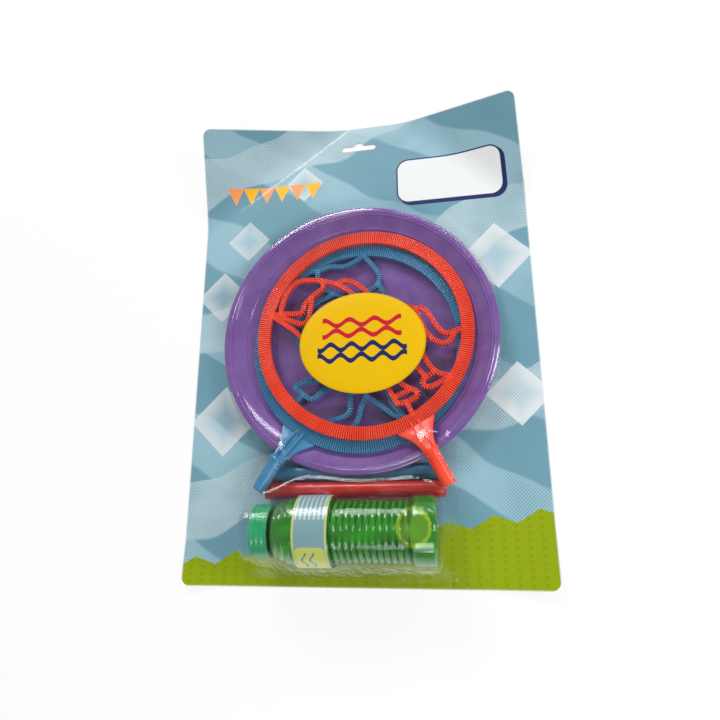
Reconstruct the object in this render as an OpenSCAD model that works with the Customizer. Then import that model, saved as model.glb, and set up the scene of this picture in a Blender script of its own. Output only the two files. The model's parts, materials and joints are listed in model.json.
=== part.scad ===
// Carded bubble wand set: a printed card with clear skin film over a dip tray,
// two wand heads, two handle tubes and a lying bottle of bubble solution.
// The card's back lies on Z = 0, the front faces +Z and the hang slot is at +Y.

/* [Backing card] */
// Width of the card
card_w = 292; // [280:1:330]
// Height of the card
card_h = 408; // [406:1:450]
// Thickness of the board
card_t = 0.6; // [0.4:0.1:1.2]
// Radius of the card's corners
card_corner_r = 8; // [4:1:14]
// Width of the hang slot
slot_w = 32; // [26:1:36]
// Height of the hang slot's bar
slot_h = 5; // [4.6:0.1:6.5]
// Radius of the round notch over the bar
slot_notch_r = 5.5; // [4:0.5:7]
// Depth of the slot's centre below the card's top edge
slot_drop = 22; // [18:1:28]
// Angle of the folded upper left corner
left_fold_deg = 32; // [4:1:40]
// Angle of the folded upper right corner
right_fold_deg = 30; // [4:1:40]
// Angle of the lifted lower left corner
low_left_fold_deg = 10; // [2:1:20]
// Angle of the lifted lower right corner
low_right_fold_deg = 13; // [2:1:20]
// Radius of the bend in every fold
fold_r = 40; // [20:1:80]

/* [Dip tray] */
// Outer radius of the tray
tray_r = 116; // [112:1:122]
// Height of the tray's rim above the card
tray_h = 15.6; // [15:0.2:20]
// Wall of the tray
tray_wall = 1.2; // [0.8:0.1:1.6]
// Width of the steep wall at the tray's edge
tray_edge_w = 17.5; // [14:0.5:20]
// Width of the gentle slope that the hoops rest on
tray_seat_w = 21.5; // [16:0.5:30]
// Height of the surface at that step
tray_step_h = 7.9; // [6:0.1:8]
// Width of the rolled rim
tray_rim_w = 7; // [5:0.5:9]
// Distance of the tray's centre below the card's centre
tray_drop = 5.2; // [0:0.2:10]

/* [Wand heads] */
// Room between the hoop and the tray's steep wall
hoop_room = 7.5; // [6.5:0.5:12]
// Width of the hoop's band
hoop_band = 10.7; // [8:0.1:14]
// Thickness of the hoop
hoop_t = 4; // [3:0.1:5]
// Width of a stroke of the figure
stroke_w = 4; // [3:0.1:5]
// Number of ribs across the hoop's band
hoop_ribs = 144; // [96:12:180]
// Width of a groove between two ribs of the hoop
hoop_groove_w = 1.6; // [1:0.1:2]
// Depth of those grooves on both faces
hoop_groove_depth = 0.7; // [0.3:0.1:1]
// Length of the gusset between hoop and collar
gusset_len = 27; // [22:0.5:32]
// Width of the gusset at the hoop
gusset_w = 32; // [24:1:40]
// Thickness of the gusset
gusset_t = 2.2; // [1.6:0.1:2.6]
// Angle at which the gusset climbs over the tray's rim
crank_deg = 23; // [22.5:0.5:28]
// Width of the two ribs on the gusset
rib_w = 1.5; // [1:0.1:2.2]
// Height of the two ribs on the gusset
rib_h = 2.4; // [1:0.1:3]
// Space between the two ribs
rib_space = 5; // [3:0.5:7]
// Outer diameter of the stem
stem_d = 10.8; // [8:0.1:12]
// Length of the stem past the collar
stem_len = 27; // [20:0.5:32]
// Wall of the stem
stem_wall = 1.2; // [0.8:0.1:2]
// Slope of the stem below the hoop's plane
stem_slope_deg = 6.5; // [2:0.5:7]
// Length of the collar that stops the handle tube
collar_len = 3; // [2:0.5:5]
// Turn of the orange head, stem to the right
orange_turn_deg = 27.5; // [20:0.5:34]
// Turn of the blue head, stem to the left
blue_turn_deg = -33.8; // [-40:0.1:-26]

/* [Handle tubes] */
// Outer diameter of a handle tube
handle_d = 12.8; // [12:0.1:13]
// Length of a handle tube
handle_len = 143; // [100:1:150]
// Radial clearance between stem and handle tube
plug_gap = 0.1; // [0.05:0.01:0.2]
// How far the blue tube lies inside the tray's edge
handle_tuck = 3.7; // [1:0.1:4]
// Space between the two handle tubes
handle_space = 0.7; // [0.3:0.1:3]

/* [Bottle] */
// Radius of the bottle's body
bottle_r = 26.2; // [25.5:0.1:27]
// Radius over the ribs
ridge_r = 24.2; // [22:0.1:25]
// Depth of the grooves between ribs
groove_depth = 1.8; // [0.6:0.1:2.2]
// Number of ribs
ridge_count = 12; // [8:1:16]
// Distance from rib to rib
ridge_pitch = 4.7; // [3.5:0.1:5]
// Length of the smooth base
base_len = 20.2; // [14:0.2:24]
// Length of the label panel
panel_len = 27.4; // [20:0.2:34]
// Length of the stepped shoulder
shoulder_len = 19.6; // [14:0.2:24]
// Wall of the bottle
bottle_wall = 1; // [0.6:0.1:1.4]
// Outer radius of the neck
neck_r = 17.6; // [15:0.1:18]
// Wall of the neck
neck_wall = 2; // [1.4:0.1:2.6]
// Distance of the bottle's base right of the card's centre
bottle_right = 62.7; // [50:0.5:70]
// Level of the solution above the bottle's axis
fill_level = 21; // [0:0.5:22]
// Thickness of the label
label_t = 0.15; // [0.1:0.05:0.3]
// Angle that the label covers
label_deg = 300; // [120:5:340]

/* [Cap] */
// Outer radius of the cap
cap_r = 20; // [19.5:0.1:22]
// Length of the cap
cap_len = 14.2; // [12:0.2:16]
// Thickness of the cap's end
cap_end_t = 1.5; // [1:0.1:2]
// Thickness of the sealing liner
liner_t = 1; // [0.6:0.1:1.6]

/* [Film and sticker] */
// Thickness of the film
film_t = 0.4; // [0.3:0.05:0.6]
// Width of the sealed edge around the contents
seal_w = 3; // [2:0.5:4]
// Slope of the film out to its sealed edge
film_slope = 11; // [8:0.5:12]
// Room under the film past the cap
cap_room = 7.5; // [7:0.5:10]
// Width of the oval sticker
sticker_w = 105; // [70:1:120]
// Height of the oval sticker
sticker_h = 86; // [60:1:100]
// Thickness of the sticker
sticker_t = 0.2; // [0.1:0.05:0.4]

/* [Hidden] */
$fn = 64;
// Running room between pieces that part, and the overrun of every cut
part_gap = 0.3;
skin_gap = 0.05;
overrun = 1;

// Card: legs of the folds along the top and the side, and the mesh of the sheet
left_fold_legs = [140, 100];
right_fold_legs = [116, 110];
low_left_fold_legs = [36, 42];
low_right_fold_legs = [50, 52];
sheet_columns = 16;
sheet_rows = 18;
corner_steps = 3;
slot_y = card_h / 2 - slot_drop;

// Tray
tray_y = -tray_drop;
tray_step_r = tray_r - tray_edge_w;
tray_floor_r = tray_step_r - tray_seat_w;
rim_crest_r = tray_r - tray_rim_w / 2;
rim_steps = 6;

// Wand heads: offsets from the tray's centre, and tilt and heights worked out from the seat below
orange_offset = [5.2, 2.3];
blue_offset = [1.3, -7.4];
orange_centre = orange_offset + [0, tray_y];
blue_centre = blue_offset + [0, tray_y];
hoop_r = tray_step_r - hoop_room;
stem_r = stem_d / 2;
collar_r = handle_d / 2;
hoop_in_r = hoop_r - hoop_band;
hoop_sides = 144;
seat_slope = (tray_step_h - tray_wall) / (tray_step_r - tray_floor_r);
// Surface of the tray's gentle slope at radius r, above the card's back
function seat_z(r) = card_t + tray_wall + seat_slope * (r - tray_floor_r);
wand_tilt_deg = asin(seat_slope * (tray_y - blue_centre.y) / hoop_r);
blue_reach = norm([hoop_r + blue_centre.x, blue_centre.y - tray_y]);
blue_z = seat_z(blue_reach) + part_gap;
orange_z = blue_z + hoop_t / cos(wand_tilt_deg) + part_gap
         + (blue_centre.y - orange_centre.y) * tan(wand_tilt_deg);
pivot_share = 0.58;
pivot_z = hoop_t * pivot_share;
collar_y = -(hoop_r + gusset_len * cos(crank_deg));
collar_z = pivot_z + gusset_len * sin(crank_deg);
stem_end_y = collar_y - stem_len * cos(stem_slope_deg);
stem_end_z = collar_z - stem_len * sin(stem_slope_deg);
gusset_root = 3;
gusset_steps = 8;

// Handle tubes lie on the card, side by side below the tray's rim
handle_r = handle_d / 2;
handle_bore_r = stem_r + plug_gap;
handle_z = card_t + part_gap + handle_r;
handle_x = -4.2;
blue_handle_y = tray_y - tray_r + handle_tuck;
orange_handle_y = blue_handle_y - handle_d - handle_space;

// Bottle, in its own frame: base at 0, neck along +Z, front along +X
bottle_z = card_t + part_gap + bottle_r;
bottle_space = 3.8;
bottle_y = orange_handle_y - handle_bottle_step();
ribs_end = base_len + ridge_count * ridge_pitch;
panel_end = ribs_end + panel_len;
shoulder_end = panel_end + shoulder_len;
cap_foot_gap = 0.6;
neck_end = shoulder_end + cap_foot_gap + cap_len - cap_end_t - liner_t;
bottle_end = neck_end + liner_t + cap_end_t;
heel_r = 5;
heel_steps = 5;
ridge_steps = 4;
label_margin = 0.6;
panel_recess = 0.3;
// Radius of each shoulder step as a share of the way from body to neck
shoulder_shares = [0.12, 0.34, 0.62, 1];
shoulder_rise_share = 0.55;

// Film over the contents
film_gap = 0.5;
film_cover = film_gap + film_t;
film_foot = 4.5;
film_end_room = 3;
tent_edge_r = 2.5;
// Angle round the bottle at which the film leaves it towards the handle tubes
saddle_deg = 30;
film_crown_r = hoop_r + norm(orange_offset) + film_cover;
film_crown_h = orange_z - card_t + hoop_t + hoop_r * sin(wand_tilt_deg) + film_cover;
pocket_left = bottle_x(bottle_end) - cap_room;
pocket_right = bottle_right + film_end_room;
pocket_low = bottle_y - bottle_r - film_slope;
bridge_left = handle_x - handle_len / 2 - film_end_room;
bridge_high = blue_handle_y + handle_r + film_cover;
sticker_offset = [4.7, -8.6];
sticker_at = sticker_offset + [0, tray_y];

// Distance across the card between the axes of the lower handle tube and the bottle
function handle_bottle_step() =
    sqrt(pow(bottle_r + handle_r + bottle_space, 2) - pow(bottle_z - handle_z, 2));

// Place on the card's X axis of a height along the bottle
function bottle_x(along) = bottle_right - along;

function reversed(list) = [for (i = [len(list) - 1 : -1 : 0]) list[i]];

// Card

// Bends the sheet about a line that cuts off one corner with the given legs
function folded(p, corner, legs, deg) =
    let (u = card_w / 2 - corner.x * p.x,
         v = card_h / 2 - corner.y * p.y,
         past = (1 - u / legs.x - v / legs.y) * legs.x * legs.y / norm(legs),
         outward = [corner.x * legs.y, corner.y * legs.x] / norm(legs),
         bend_len = fold_r * deg * PI / 180,
         turn = min(past, bend_len) / fold_r * 180 / PI,
         rest = max(0, past - bend_len),
         along = fold_r * sin(turn) + rest * cos(deg) - past,
         up = fold_r * (1 - cos(turn)) + rest * sin(deg))
    past <= 0 ? p : [p.x + outward.x * along, p.y + outward.y * along, p.z + up];

function folded_card(p) =
    folded(folded(folded(folded(p, [-1, 1], left_fold_legs, left_fold_deg),
        [1, 1], right_fold_legs, right_fold_deg),
        [-1, -1], low_left_fold_legs, low_left_fold_deg),
        [1, -1], low_right_fold_legs, low_right_fold_deg);

// Rows of the sheet as [height, half width], closer together round the corners
function corner_row(step) =
    let (turn = 90 * step / corner_steps)
    [card_h / 2 - card_corner_r * (1 - cos(turn)), card_w / 2 - card_corner_r * (1 - sin(turn))];

function card_rows() =
    let (high = [for (step = [0 : corner_steps]) corner_row(step)],
         straight = card_h / 2 - card_corner_r,
         middle = [for (i = [1 : sheet_rows - 1]) [straight * (1 - 2 * i / sheet_rows), card_w / 2]])
    concat(high, middle, [for (row = reversed(high)) [-row[0], row[1]]]);

module folded_sheet() {
    rows = card_rows();
    across = sheet_columns + 1;
    layer = len(rows) * across;
    last = len(rows) - 1;
    flat = [for (row = rows, i = [0 : sheet_columns]) [row[1] * (2 * i / sheet_columns - 1), row[0]]];
    points = [for (z = [0, card_t], p = flat) folded_card([p.x, p.y, z])];
    back = [for (r = [0 : last - 1], i = [0 : sheet_columns - 1])
        let (a = r * across + i) each [[a, a + across, a + 1], [a + 1, a + across, a + across + 1]]];
    front = [for (f = back) [f[0] + layer, f[2] + layer, f[1] + layer]];
    edge = concat([for (i = [0 : sheet_columns]) i],
        [for (r = [1 : last]) r * across + sheet_columns],
        [for (i = [sheet_columns - 1 : -1 : 0]) last * across + i],
        [for (r = [last - 1 : -1 : 1]) r * across]);
    rim = [for (k = [0 : len(edge) - 1])
        let (a = edge[k], b = edge[(k + 1) % len(edge)])
        each [[a, b, a + layer], [b, b + layer, a + layer]]];
    polyhedron(points, [for (f = concat(back, front, rim)) reversed(f)]);
}

module slot_outline() {
    for (side = [-1, 1])
        translate([side * (slot_w - slot_h) / 2, 0]) circle(d = slot_h);
    square([slot_w - slot_h, slot_h], center = true);
    intersection() {
        circle(r = slot_notch_r);
        translate([0, slot_notch_r]) square(2 * slot_notch_r, center = true);
    }
}

module backing_card() {
    color("skyblue") difference() {
        folded_sheet();
        translate([0, slot_y, -overrun]) linear_extrude(card_t + 2 * overrun) slot_outline();
    }
}

// Tray

// Half-round edge of the rim, from inside to outside, drawn in by inset
function rim_arc(inset) = [for (k = [0 : rim_steps])
    let (turn = 150 - 150 * k / rim_steps, r = tray_rim_w / 2 - inset)
    [rim_crest_r + r * cos(turn), tray_h - tray_rim_w / 4 + r / 2 * sin(turn)]];

module bubble_tray() {
    top = concat([[0, tray_wall], [tray_floor_r, tray_wall], [tray_step_r, tray_step_h]], rim_arc(0));
    under = concat(reversed(rim_arc(tray_wall)),
        [[tray_step_r + tray_wall / 2, tray_step_h - tray_wall], [tray_floor_r + tray_wall / 2, 0], [0, 0]]);
    color("mediumpurple") translate([0, tray_y, card_t]) rotate_extrude() polygon(concat(top, under));
}

// Wand heads: hoop round the origin, stem along -Y

// Points of the figures' strokes as shares of the hoop's inner radius
orange_figure_shares = [
    [[-0.68, 0.64], [-0.55, 0.79], [-0.39, 0.87], [-0.27, 0.84], [-0.13, 0.75]],
    [[-0.13, 0.75], [-0.14, 0.66], [-0.30, 0.63], [-0.42, 0.58], [-0.48, 0.52], [-0.68, 0.64]],
    [[-0.13, 0.75], [0, 0.61], [0.07, 0.49], [0.14, 0.34], [0.28, 0.2], [0.45, 0.06], [0.58, -0.07]],
    [[0, 0.61], [0.07, 0.62], [0.15, 0.56], [0.21, 0.44], [0.28, 0.2]],
    [[-0.78, 0.68], [-0.62, 0.35], [-0.57, 0.12], [-0.46, -0.06], [-0.34, -0.03], [-0.24, 0.1]],
    [[-0.76, 0.70], [-0.53, 0.41], [-0.40, 0.47], [-0.30, 0.63]],
    [[-0.24, 0.1], [-0.2, -0.2], [-0.08, -0.45], [-0.06, -0.85]],
    [[-0.06, -0.85], [0.03, -0.88], [0.14, -0.88]],
    [[0.58, -0.07], [0.65, -0.11], [0.67, -0.22], [0.67, -0.34], [0.70, -0.45], [0.77, -0.48], [0.9, -0.5]],
    [[0.78, -0.5], [0.73, -0.54], [0.66, -0.55], [0.59, -0.48], [0.55, -0.35], [0.58, -0.07]],
    [[0.14, -0.88], [0.17, -0.84], [0.07, -0.68], [0.1, -0.45], [0.22, -0.42], [0.29, -0.63], [0.31, -0.75]],
    [[-0.05, -0.78], [0.12, -0.79]],
    [[0.03, -0.87], [0.02, -1.03]],
    [[0.55, -0.35], [0.42, -0.5], [0.42, -0.74], [0.53, -0.86]],
    [[0.31, -0.75], [0.26, -0.79], [0.29, -0.86], [0.45, -0.87], [0.53, -0.86]],
    [[0.31, -0.76], [0.42, -0.75]],
];
blue_figure_shares = [
    [[-0.92, 0.42], [-0.86, 0.46], [-0.78, 0.57], [-0.62, 0.66], [-0.52, 0.86]],
    [[-0.52, 0.86], [-0.37, 0.81], [-0.24, 0.75], [-0.2, 0.66], [-0.23, 0.57], [-0.35, 0.42], [-0.56, 0.32]],
    [[-0.86, 0.46], [-0.76, 0.33], [-0.56, 0.32], [-0.65, 0.16], [-0.66, 0.05], [-0.7, -0.12]],
    [[-0.2, 0.66], [-0.1, 0.61], [0.1, 0.46], [0.3, 0.2], [0.42, -0.06], [0.51, -0.26]],
    [[-0.7, -0.12], [-0.6, -0.3], [-0.4, -0.36], [-0.28, -0.46], [-0.16, -0.57]],
    [[-0.16, -0.57], [-0.26, -0.63], [-0.32, -0.74]],
    [[-0.32, -0.74], [-0.2, -0.75], [-0.09, -0.75], [-0.05, -0.64], [0.04, -0.5], [0.21, -0.49]],
    [[-0.2, -0.75], [-0.25, -1.0]],
    [[0.21, -0.49], [0.31, -0.63], [0.30, -0.71], [0.24, -0.79], [0.19, -0.85], [0.15, -1.01]],
    [[0.21, -0.49], [0.3, -0.38], [0.37, -0.43], [0.39, -0.55], [0.43, -0.65], [0.44, -0.74], [0.45, -0.92]],
    [[0.37, -0.43], [0.52, -0.43], [0.67, -0.44], [0.75, -0.44], [0.81, -0.4]],
    [[0.51, -0.26], [0.6, -0.33], [0.68, -0.37], [0.81, -0.4], [0.93, -0.43]],
];

// A smooth curve through points, with one more point on each stretch
function curve_mid(a, b, c, d) = (9 * (b + c) - a - d) / 16;
function smoothed(p) =
    let (last = len(p) - 1)
    [for (i = [0 : last]) each i == last ? [p[i]]
        : [p[i], curve_mid(p[max(i - 1, 0)], p[i], p[i + 1], p[min(i + 2, last)])]];

// Sideways direction of a path at one of its points
function across(p, i) =
    let (d = p[min(i + 1, len(p) - 1)] - p[max(i - 1, 0)])
    [-d.y, d.x] / norm(d);

module stroke(shares) {
    path = smoothed(smoothed(shares)) * hoop_in_r;
    left = [for (i = [0 : len(path) - 1]) path[i] + across(path, i) * stroke_w / 2];
    right = [for (i = [0 : len(path) - 1]) path[i] - across(path, i) * stroke_w / 2];
    polygon(concat(left, reversed(right)));
    for (tip = [path[0], path[len(path) - 1]])
        translate(tip) circle(d = stroke_w);
}

// Hoop with the figure in it, seen from the front
module head_outline(shares) {
    difference() {
        circle(r = hoop_r, $fn = hoop_sides);
        circle(r = hoop_in_r, $fn = hoop_sides);
    }
    for (path = shares) stroke(path);
}

// Grooves across the hoop's band, one between each two ribs
module hoop_grooves() {
    for (i = [0 : hoop_ribs - 1])
        rotate(360 * (i + 1 / 2) / hoop_ribs) translate([hoop_in_r - overrun, -hoop_groove_w / 2])
            square([hoop_band + 2 * overrun, hoop_groove_w]);
}

// Plain core with a ribbed layer on both faces
module hoop_and_figure(shares) {
    translate([0, 0, hoop_groove_depth]) linear_extrude(hoop_t - 2 * hoop_groove_depth)
        offset(delta = 0) head_outline(shares);
    for (z = [0, hoop_t - hoop_groove_depth])
        translate([0, 0, z]) linear_extrude(hoop_groove_depth) offset(delta = 0) difference() {
            head_outline(shares);
            hoop_grooves();
        }
}

// Half width of the gusset at a distance from the hoop
function gusset_half(along) =
    stem_r + (gusset_w / 2 - stem_r) * pow(1 - max(0, along) / gusset_len, 2);

module gusset() {
    plate_end = gusset_len - collar_len / 2;
    stretch = [for (k = [0 : gusset_steps]) -gusset_root + (plate_end + gusset_root) * k / gusset_steps];
    edge = [for (s = stretch) [gusset_half(s), -s]];
    other = [for (p = reversed(edge)) [-p.x, p.y]];
    translate([0, -hoop_r, pivot_z]) rotate([-crank_deg, 0, 0]) {
        translate([0, 0, -gusset_t / 2]) linear_extrude(gusset_t) polygon(concat(edge, other));
        for (side = [-1, 1])
            translate([side * (rib_space + rib_w) / 2 - rib_w / 2, -gusset_len, 0])
                cube([rib_w, gusset_len + gusset_root, gusset_t / 2 + rib_h]);
    }
}

module stem() {
    translate([0, collar_y, collar_z]) rotate([90 + stem_slope_deg, 0, 0]) difference() {
        union() {
            translate([0, 0, -collar_len]) cylinder(r = collar_r, h = collar_len);
            translate([0, 0, -overrun]) cylinder(r = stem_r, h = stem_len + overrun);
        }
        cylinder(r = stem_r - stem_wall, h = stem_len + overrun);
    }
}

module wand_head(shares) {
    hoop_and_figure(shares);
    gusset();
    stem();
}

module place_wand(centre, height, turn) {
    translate([centre.x, centre.y, height]) rotate([-wand_tilt_deg, 0, 0]) rotate([0, 0, turn]) children();
}

module orange_wand_head() {
    color("orangered") place_wand(orange_centre, orange_z, orange_turn_deg) wand_head(orange_figure_shares);
}

module blue_wand_head() {
    color("steelblue") place_wand(blue_centre, blue_z, blue_turn_deg) wand_head(blue_figure_shares);
}

// Handle tubes
module handle_tube(y) {
    translate([handle_x - handle_len / 2, y, handle_z]) rotate([0, 90, 0]) difference() {
        cylinder(r = handle_r, h = handle_len);
        translate([0, 0, -overrun]) cylinder(r = handle_bore_r, h = handle_len + 2 * overrun);
    }
}

module orange_handle() {
    color("firebrick") handle_tube(orange_handle_y);
}

module blue_handle() {
    color("darkslateblue") handle_tube(blue_handle_y);
}

// Bottle
module place_bottle() {
    translate([bottle_right, bottle_y, bottle_z]) rotate([0, -90, 0]) children();
}

// Outline from the middle of the base to the foot of the neck, drawn in by inset
function bottle_outline(inset) = concat([[0, inset]],
    [for (k = [0 : heel_steps])
        let (turn = -90 + 90 * k / heel_steps)
        [bottle_r - heel_r + (heel_r - inset) * cos(turn), heel_r + (heel_r - inset) * sin(turn)]],
    [[bottle_r - inset, base_len - bottle_r + ridge_r - inset / 2]],
    [for (i = [0 : ridge_count - 1], k = [0 : ridge_steps - 1])
        [ridge_r - inset - groove_depth * (1 - sin(180 * k / ridge_steps)),
         base_len + ridge_pitch * (i + k / ridge_steps)]],
    [[ridge_r - groove_depth - inset, ribs_end],
     [bottle_r - panel_recess - inset, ribs_end + label_margin + inset / 2],
     [bottle_r - panel_recess - inset, panel_end - inset / 2]],
    [for (i = [0 : len(shoulder_shares) - 1])
        let (step = shoulder_len / len(shoulder_shares),
             from = bottle_r - (bottle_r - neck_r) * (i == 0 ? 0 : shoulder_shares[i - 1]),
             to = bottle_r - (bottle_r - neck_r) * shoulder_shares[i])
        each [[from - inset, panel_end + step * (i + 1 - shoulder_rise_share) - inset / 2],
              [to - inset, panel_end + step * (i + 1) - inset / 2]]]);

module bottle() {
    outside = concat(bottle_outline(0), [[neck_r, neck_end]]);
    inside = concat(bottle_outline(bottle_wall), [[neck_r - neck_wall, shoulder_end], [neck_r - neck_wall, neck_end]]);
    color("seagreen") place_bottle() rotate_extrude() polygon(concat(outside, reversed(inside)));
}

module bottle_cap() {
    foot = shoulder_end + cap_foot_gap;
    color("green") place_bottle() translate([0, 0, foot]) difference() {
        cylinder(r = cap_r, h = cap_len);
        translate([0, 0, -overrun]) cylinder(r = neck_r + part_gap, h = cap_len - cap_end_t + overrun);
    }
}

module cap_liner() {
    color("white") place_bottle() translate([0, 0, neck_end]) cylinder(r = neck_r, h = liner_t);
}

module bottle_label() {
    inner = bottle_r - panel_recess + skin_gap;
    color("lightblue") place_bottle() rotate([0, 0, -label_deg / 2])
        rotate_extrude(angle = label_deg)
            translate([inner, ribs_end + 2 * label_margin]) square([label_t, panel_len - 3 * label_margin]);
}

module bubble_solution() {
    body = concat(bottle_outline(bottle_wall + part_gap), [[0, shoulder_end - bottle_wall]]);
    color("yellowgreen") place_bottle() intersection() {
        rotate_extrude() polygon(body);
        translate([fill_level - 2 * bottle_r, -bottle_r, 0]) cube([2 * bottle_r, 2 * bottle_r, shoulder_end]);
    }
}

// Film

// World place of a point of a wand head
function on_wand(centre, height, turn, p) =
    let (x = p.x * cos(turn) - p.y * sin(turn),
         y = p.x * sin(turn) + p.y * cos(turn),
         c = cos(wand_tilt_deg),
         s = sin(wand_tilt_deg))
    [centre.x + x, centre.y + y * c + p.z * s, height - y * s + p.z * c];

module film_dome(inset, sink) {
    shoulder_r = tray_r + film_cover;
    shoulder_h = tray_h + film_cover;
    translate([0, tray_y, card_t]) rotate_extrude($fn = 96) polygon([[0, -sink], [tray_r + film_foot - inset, -sink],
        [tray_r + film_foot - inset, 0], [shoulder_r - inset, shoulder_h - inset],
        [film_crown_r, film_crown_h - inset], [0, film_crown_h - inset]]);
}

// Film drawn over a stem, from the hoop to the card below the stem and beyond its end
module film_tent(centre, height, turn, inset, sink) {
    feet = [for (y = [-hoop_r, stem_end_y]) on_wand(centre, height, turn, [0, y, 0])];
    hull() {
        for (side = [-1, 1])
            translate(on_wand(centre, height, turn, [side * gusset_w / 2, -hoop_in_r, hoop_t + tent_edge_r]))
                sphere(r = tent_edge_r - inset, $fn = 16);
        translate(on_wand(centre, height, turn, [0, collar_y, collar_z]))
            sphere(r = collar_r + rib_h / 2 + film_cover - inset, $fn = 24);
        translate(on_wand(centre, height, turn, [0, stem_end_y, stem_end_z]))
            sphere(r = stem_r + 2 * film_cover - inset, $fn = 24);
        for (foot = feet)
            translate([foot.x, foot.y, card_t - sink])
                cylinder(r = collar_r + film_foot - inset, h = film_t + sink, $fn = 24);
    }
}

// Film drawn over both handle tubes between the tray and the bottle, and up the bottle's side
module film_bridge(inset, sink) {
    reach = bridge_high - bottle_y - inset;
    hull() {
        translate([bridge_left - film_foot + inset, bottle_y, card_t - sink])
            cube([handle_len + 2 * (film_end_room + film_foot - inset), reach, film_t + sink]);
        translate([bridge_left + inset, bottle_y, card_t])
            cube([handle_len + 2 * (film_end_room - inset), reach, handle_d + part_gap + film_cover - inset]);
    }
    hull() {
        translate([bottle_x(panel_end), bottle_y, card_t])
            cube([panel_end, reach - handle_r, handle_d + part_gap + film_cover - inset]);
        translate([bottle_x(panel_end), bottle_y, card_t])
            cube([panel_end, bottle_r * cos(saddle_deg) - inset, bottle_z - card_t + bottle_r * sin(saddle_deg) - inset]);
    }
}

// Film drawn over the bottle and its cap
module film_pocket(inset, sink) {
    cover = film_cover - inset;
    hull() {
        translate([bottle_x(shoulder_end), bottle_y, bottle_z]) rotate([0, 90, 0])
            cylinder(r = bottle_r + cover, h = shoulder_end + film_end_room - inset, $fn = 48);
        translate([pocket_left + inset, bottle_y, bottle_z]) rotate([0, 90, 0])
            cylinder(r = cap_r + cover, h = cap_len, $fn = 48);
        translate([pocket_left - film_slope + inset, pocket_low + inset, card_t - sink])
            cube([pocket_right - pocket_left + 2 * (film_slope - inset),
                orange_handle_y - pocket_low - 2 * inset, film_t + sink]);
    }
}

module film_form(inset, sink) {
    film_dome(inset, sink);
    film_tent(orange_centre, orange_z, orange_turn_deg, inset, sink);
    film_tent(blue_centre, blue_z, blue_turn_deg, inset, sink);
    film_bridge(inset, sink);
    film_pocket(inset, sink);
}

// Flat edge of the film, sealed to the card round the tray and the bottle
module film_seal() {
    translate([0, tray_y, card_t]) cylinder(r = tray_r + film_foot + seal_w, h = film_t);
    translate([pocket_left - film_slope - seal_w, pocket_low - seal_w, card_t])
        cube([pocket_right - pocket_left + 2 * (film_slope + seal_w), tray_y - pocket_low, film_t]);
}

module skin_film() {
    color("azure", 0.4) difference() {
        union() {
            film_form(0, 0);
            film_seal();
        }
        film_form(film_t, overrun);
        translate([-card_w / 2, -card_h / 2, card_t - bottle_r]) cube([card_w, card_h, bottle_r]);
    }
}

module oval_sticker() {
    color("gold") translate([sticker_at.x, sticker_at.y, card_t + film_crown_h]) linear_extrude(sticker_t)
        scale([1, sticker_h / sticker_w]) circle(d = sticker_w);
}

backing_card();
skin_film();
oval_sticker();
bubble_tray();
orange_wand_head();
blue_wand_head();
orange_handle();
blue_handle();
bottle();
bottle_cap();
cap_liner();
bottle_label();
bubble_solution();
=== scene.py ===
"""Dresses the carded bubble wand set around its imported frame: print, ribbed wands, bottle, film and stage."""

import json
import math

import bmesh
import bpy
import numpy as np
from bpy.props import FloatProperty, FloatVectorProperty, IntProperty, PointerProperty
from mathutils import Matrix, Vector
from mathutils.bvhtree import BVHTree


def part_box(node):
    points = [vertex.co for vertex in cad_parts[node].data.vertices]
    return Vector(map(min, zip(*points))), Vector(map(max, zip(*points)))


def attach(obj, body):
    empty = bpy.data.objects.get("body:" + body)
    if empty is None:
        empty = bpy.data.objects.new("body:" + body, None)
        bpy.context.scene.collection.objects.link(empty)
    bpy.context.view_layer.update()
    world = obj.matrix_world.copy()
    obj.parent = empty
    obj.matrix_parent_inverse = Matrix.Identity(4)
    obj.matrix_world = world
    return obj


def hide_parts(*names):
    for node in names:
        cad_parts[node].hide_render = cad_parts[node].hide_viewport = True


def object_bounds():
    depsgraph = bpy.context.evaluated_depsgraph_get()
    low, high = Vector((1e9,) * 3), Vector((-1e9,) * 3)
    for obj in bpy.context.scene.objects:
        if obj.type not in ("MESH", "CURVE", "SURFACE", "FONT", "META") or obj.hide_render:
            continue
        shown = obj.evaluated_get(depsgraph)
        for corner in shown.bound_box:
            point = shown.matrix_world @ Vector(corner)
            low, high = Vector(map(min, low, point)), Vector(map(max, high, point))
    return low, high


bl_info = {
    "name": "Carded bubble wand set",
    "version": (1, 0, 0),
    "blender": (4, 5, 0),
    "location": "View3D > Sidebar > Bubble set",
    "description": "Builds the card, tray, wands, tubes, bottle and film of a carded bubble wand set",
    "category": "Add Mesh",
}

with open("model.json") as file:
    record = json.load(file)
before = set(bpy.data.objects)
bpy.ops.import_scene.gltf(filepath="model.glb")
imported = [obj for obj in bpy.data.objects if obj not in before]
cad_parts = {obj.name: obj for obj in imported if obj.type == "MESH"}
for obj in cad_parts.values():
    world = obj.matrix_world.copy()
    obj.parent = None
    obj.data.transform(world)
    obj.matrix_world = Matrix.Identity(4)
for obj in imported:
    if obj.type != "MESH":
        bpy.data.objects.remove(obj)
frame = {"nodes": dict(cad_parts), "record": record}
CAD_BOX = [list(corner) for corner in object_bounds()]
MM = 0.001
TINY = 1e-7
QUARTER = math.radians(90)
WHITE = (1.0, 1.0, 1.0, 1.0)

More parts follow.
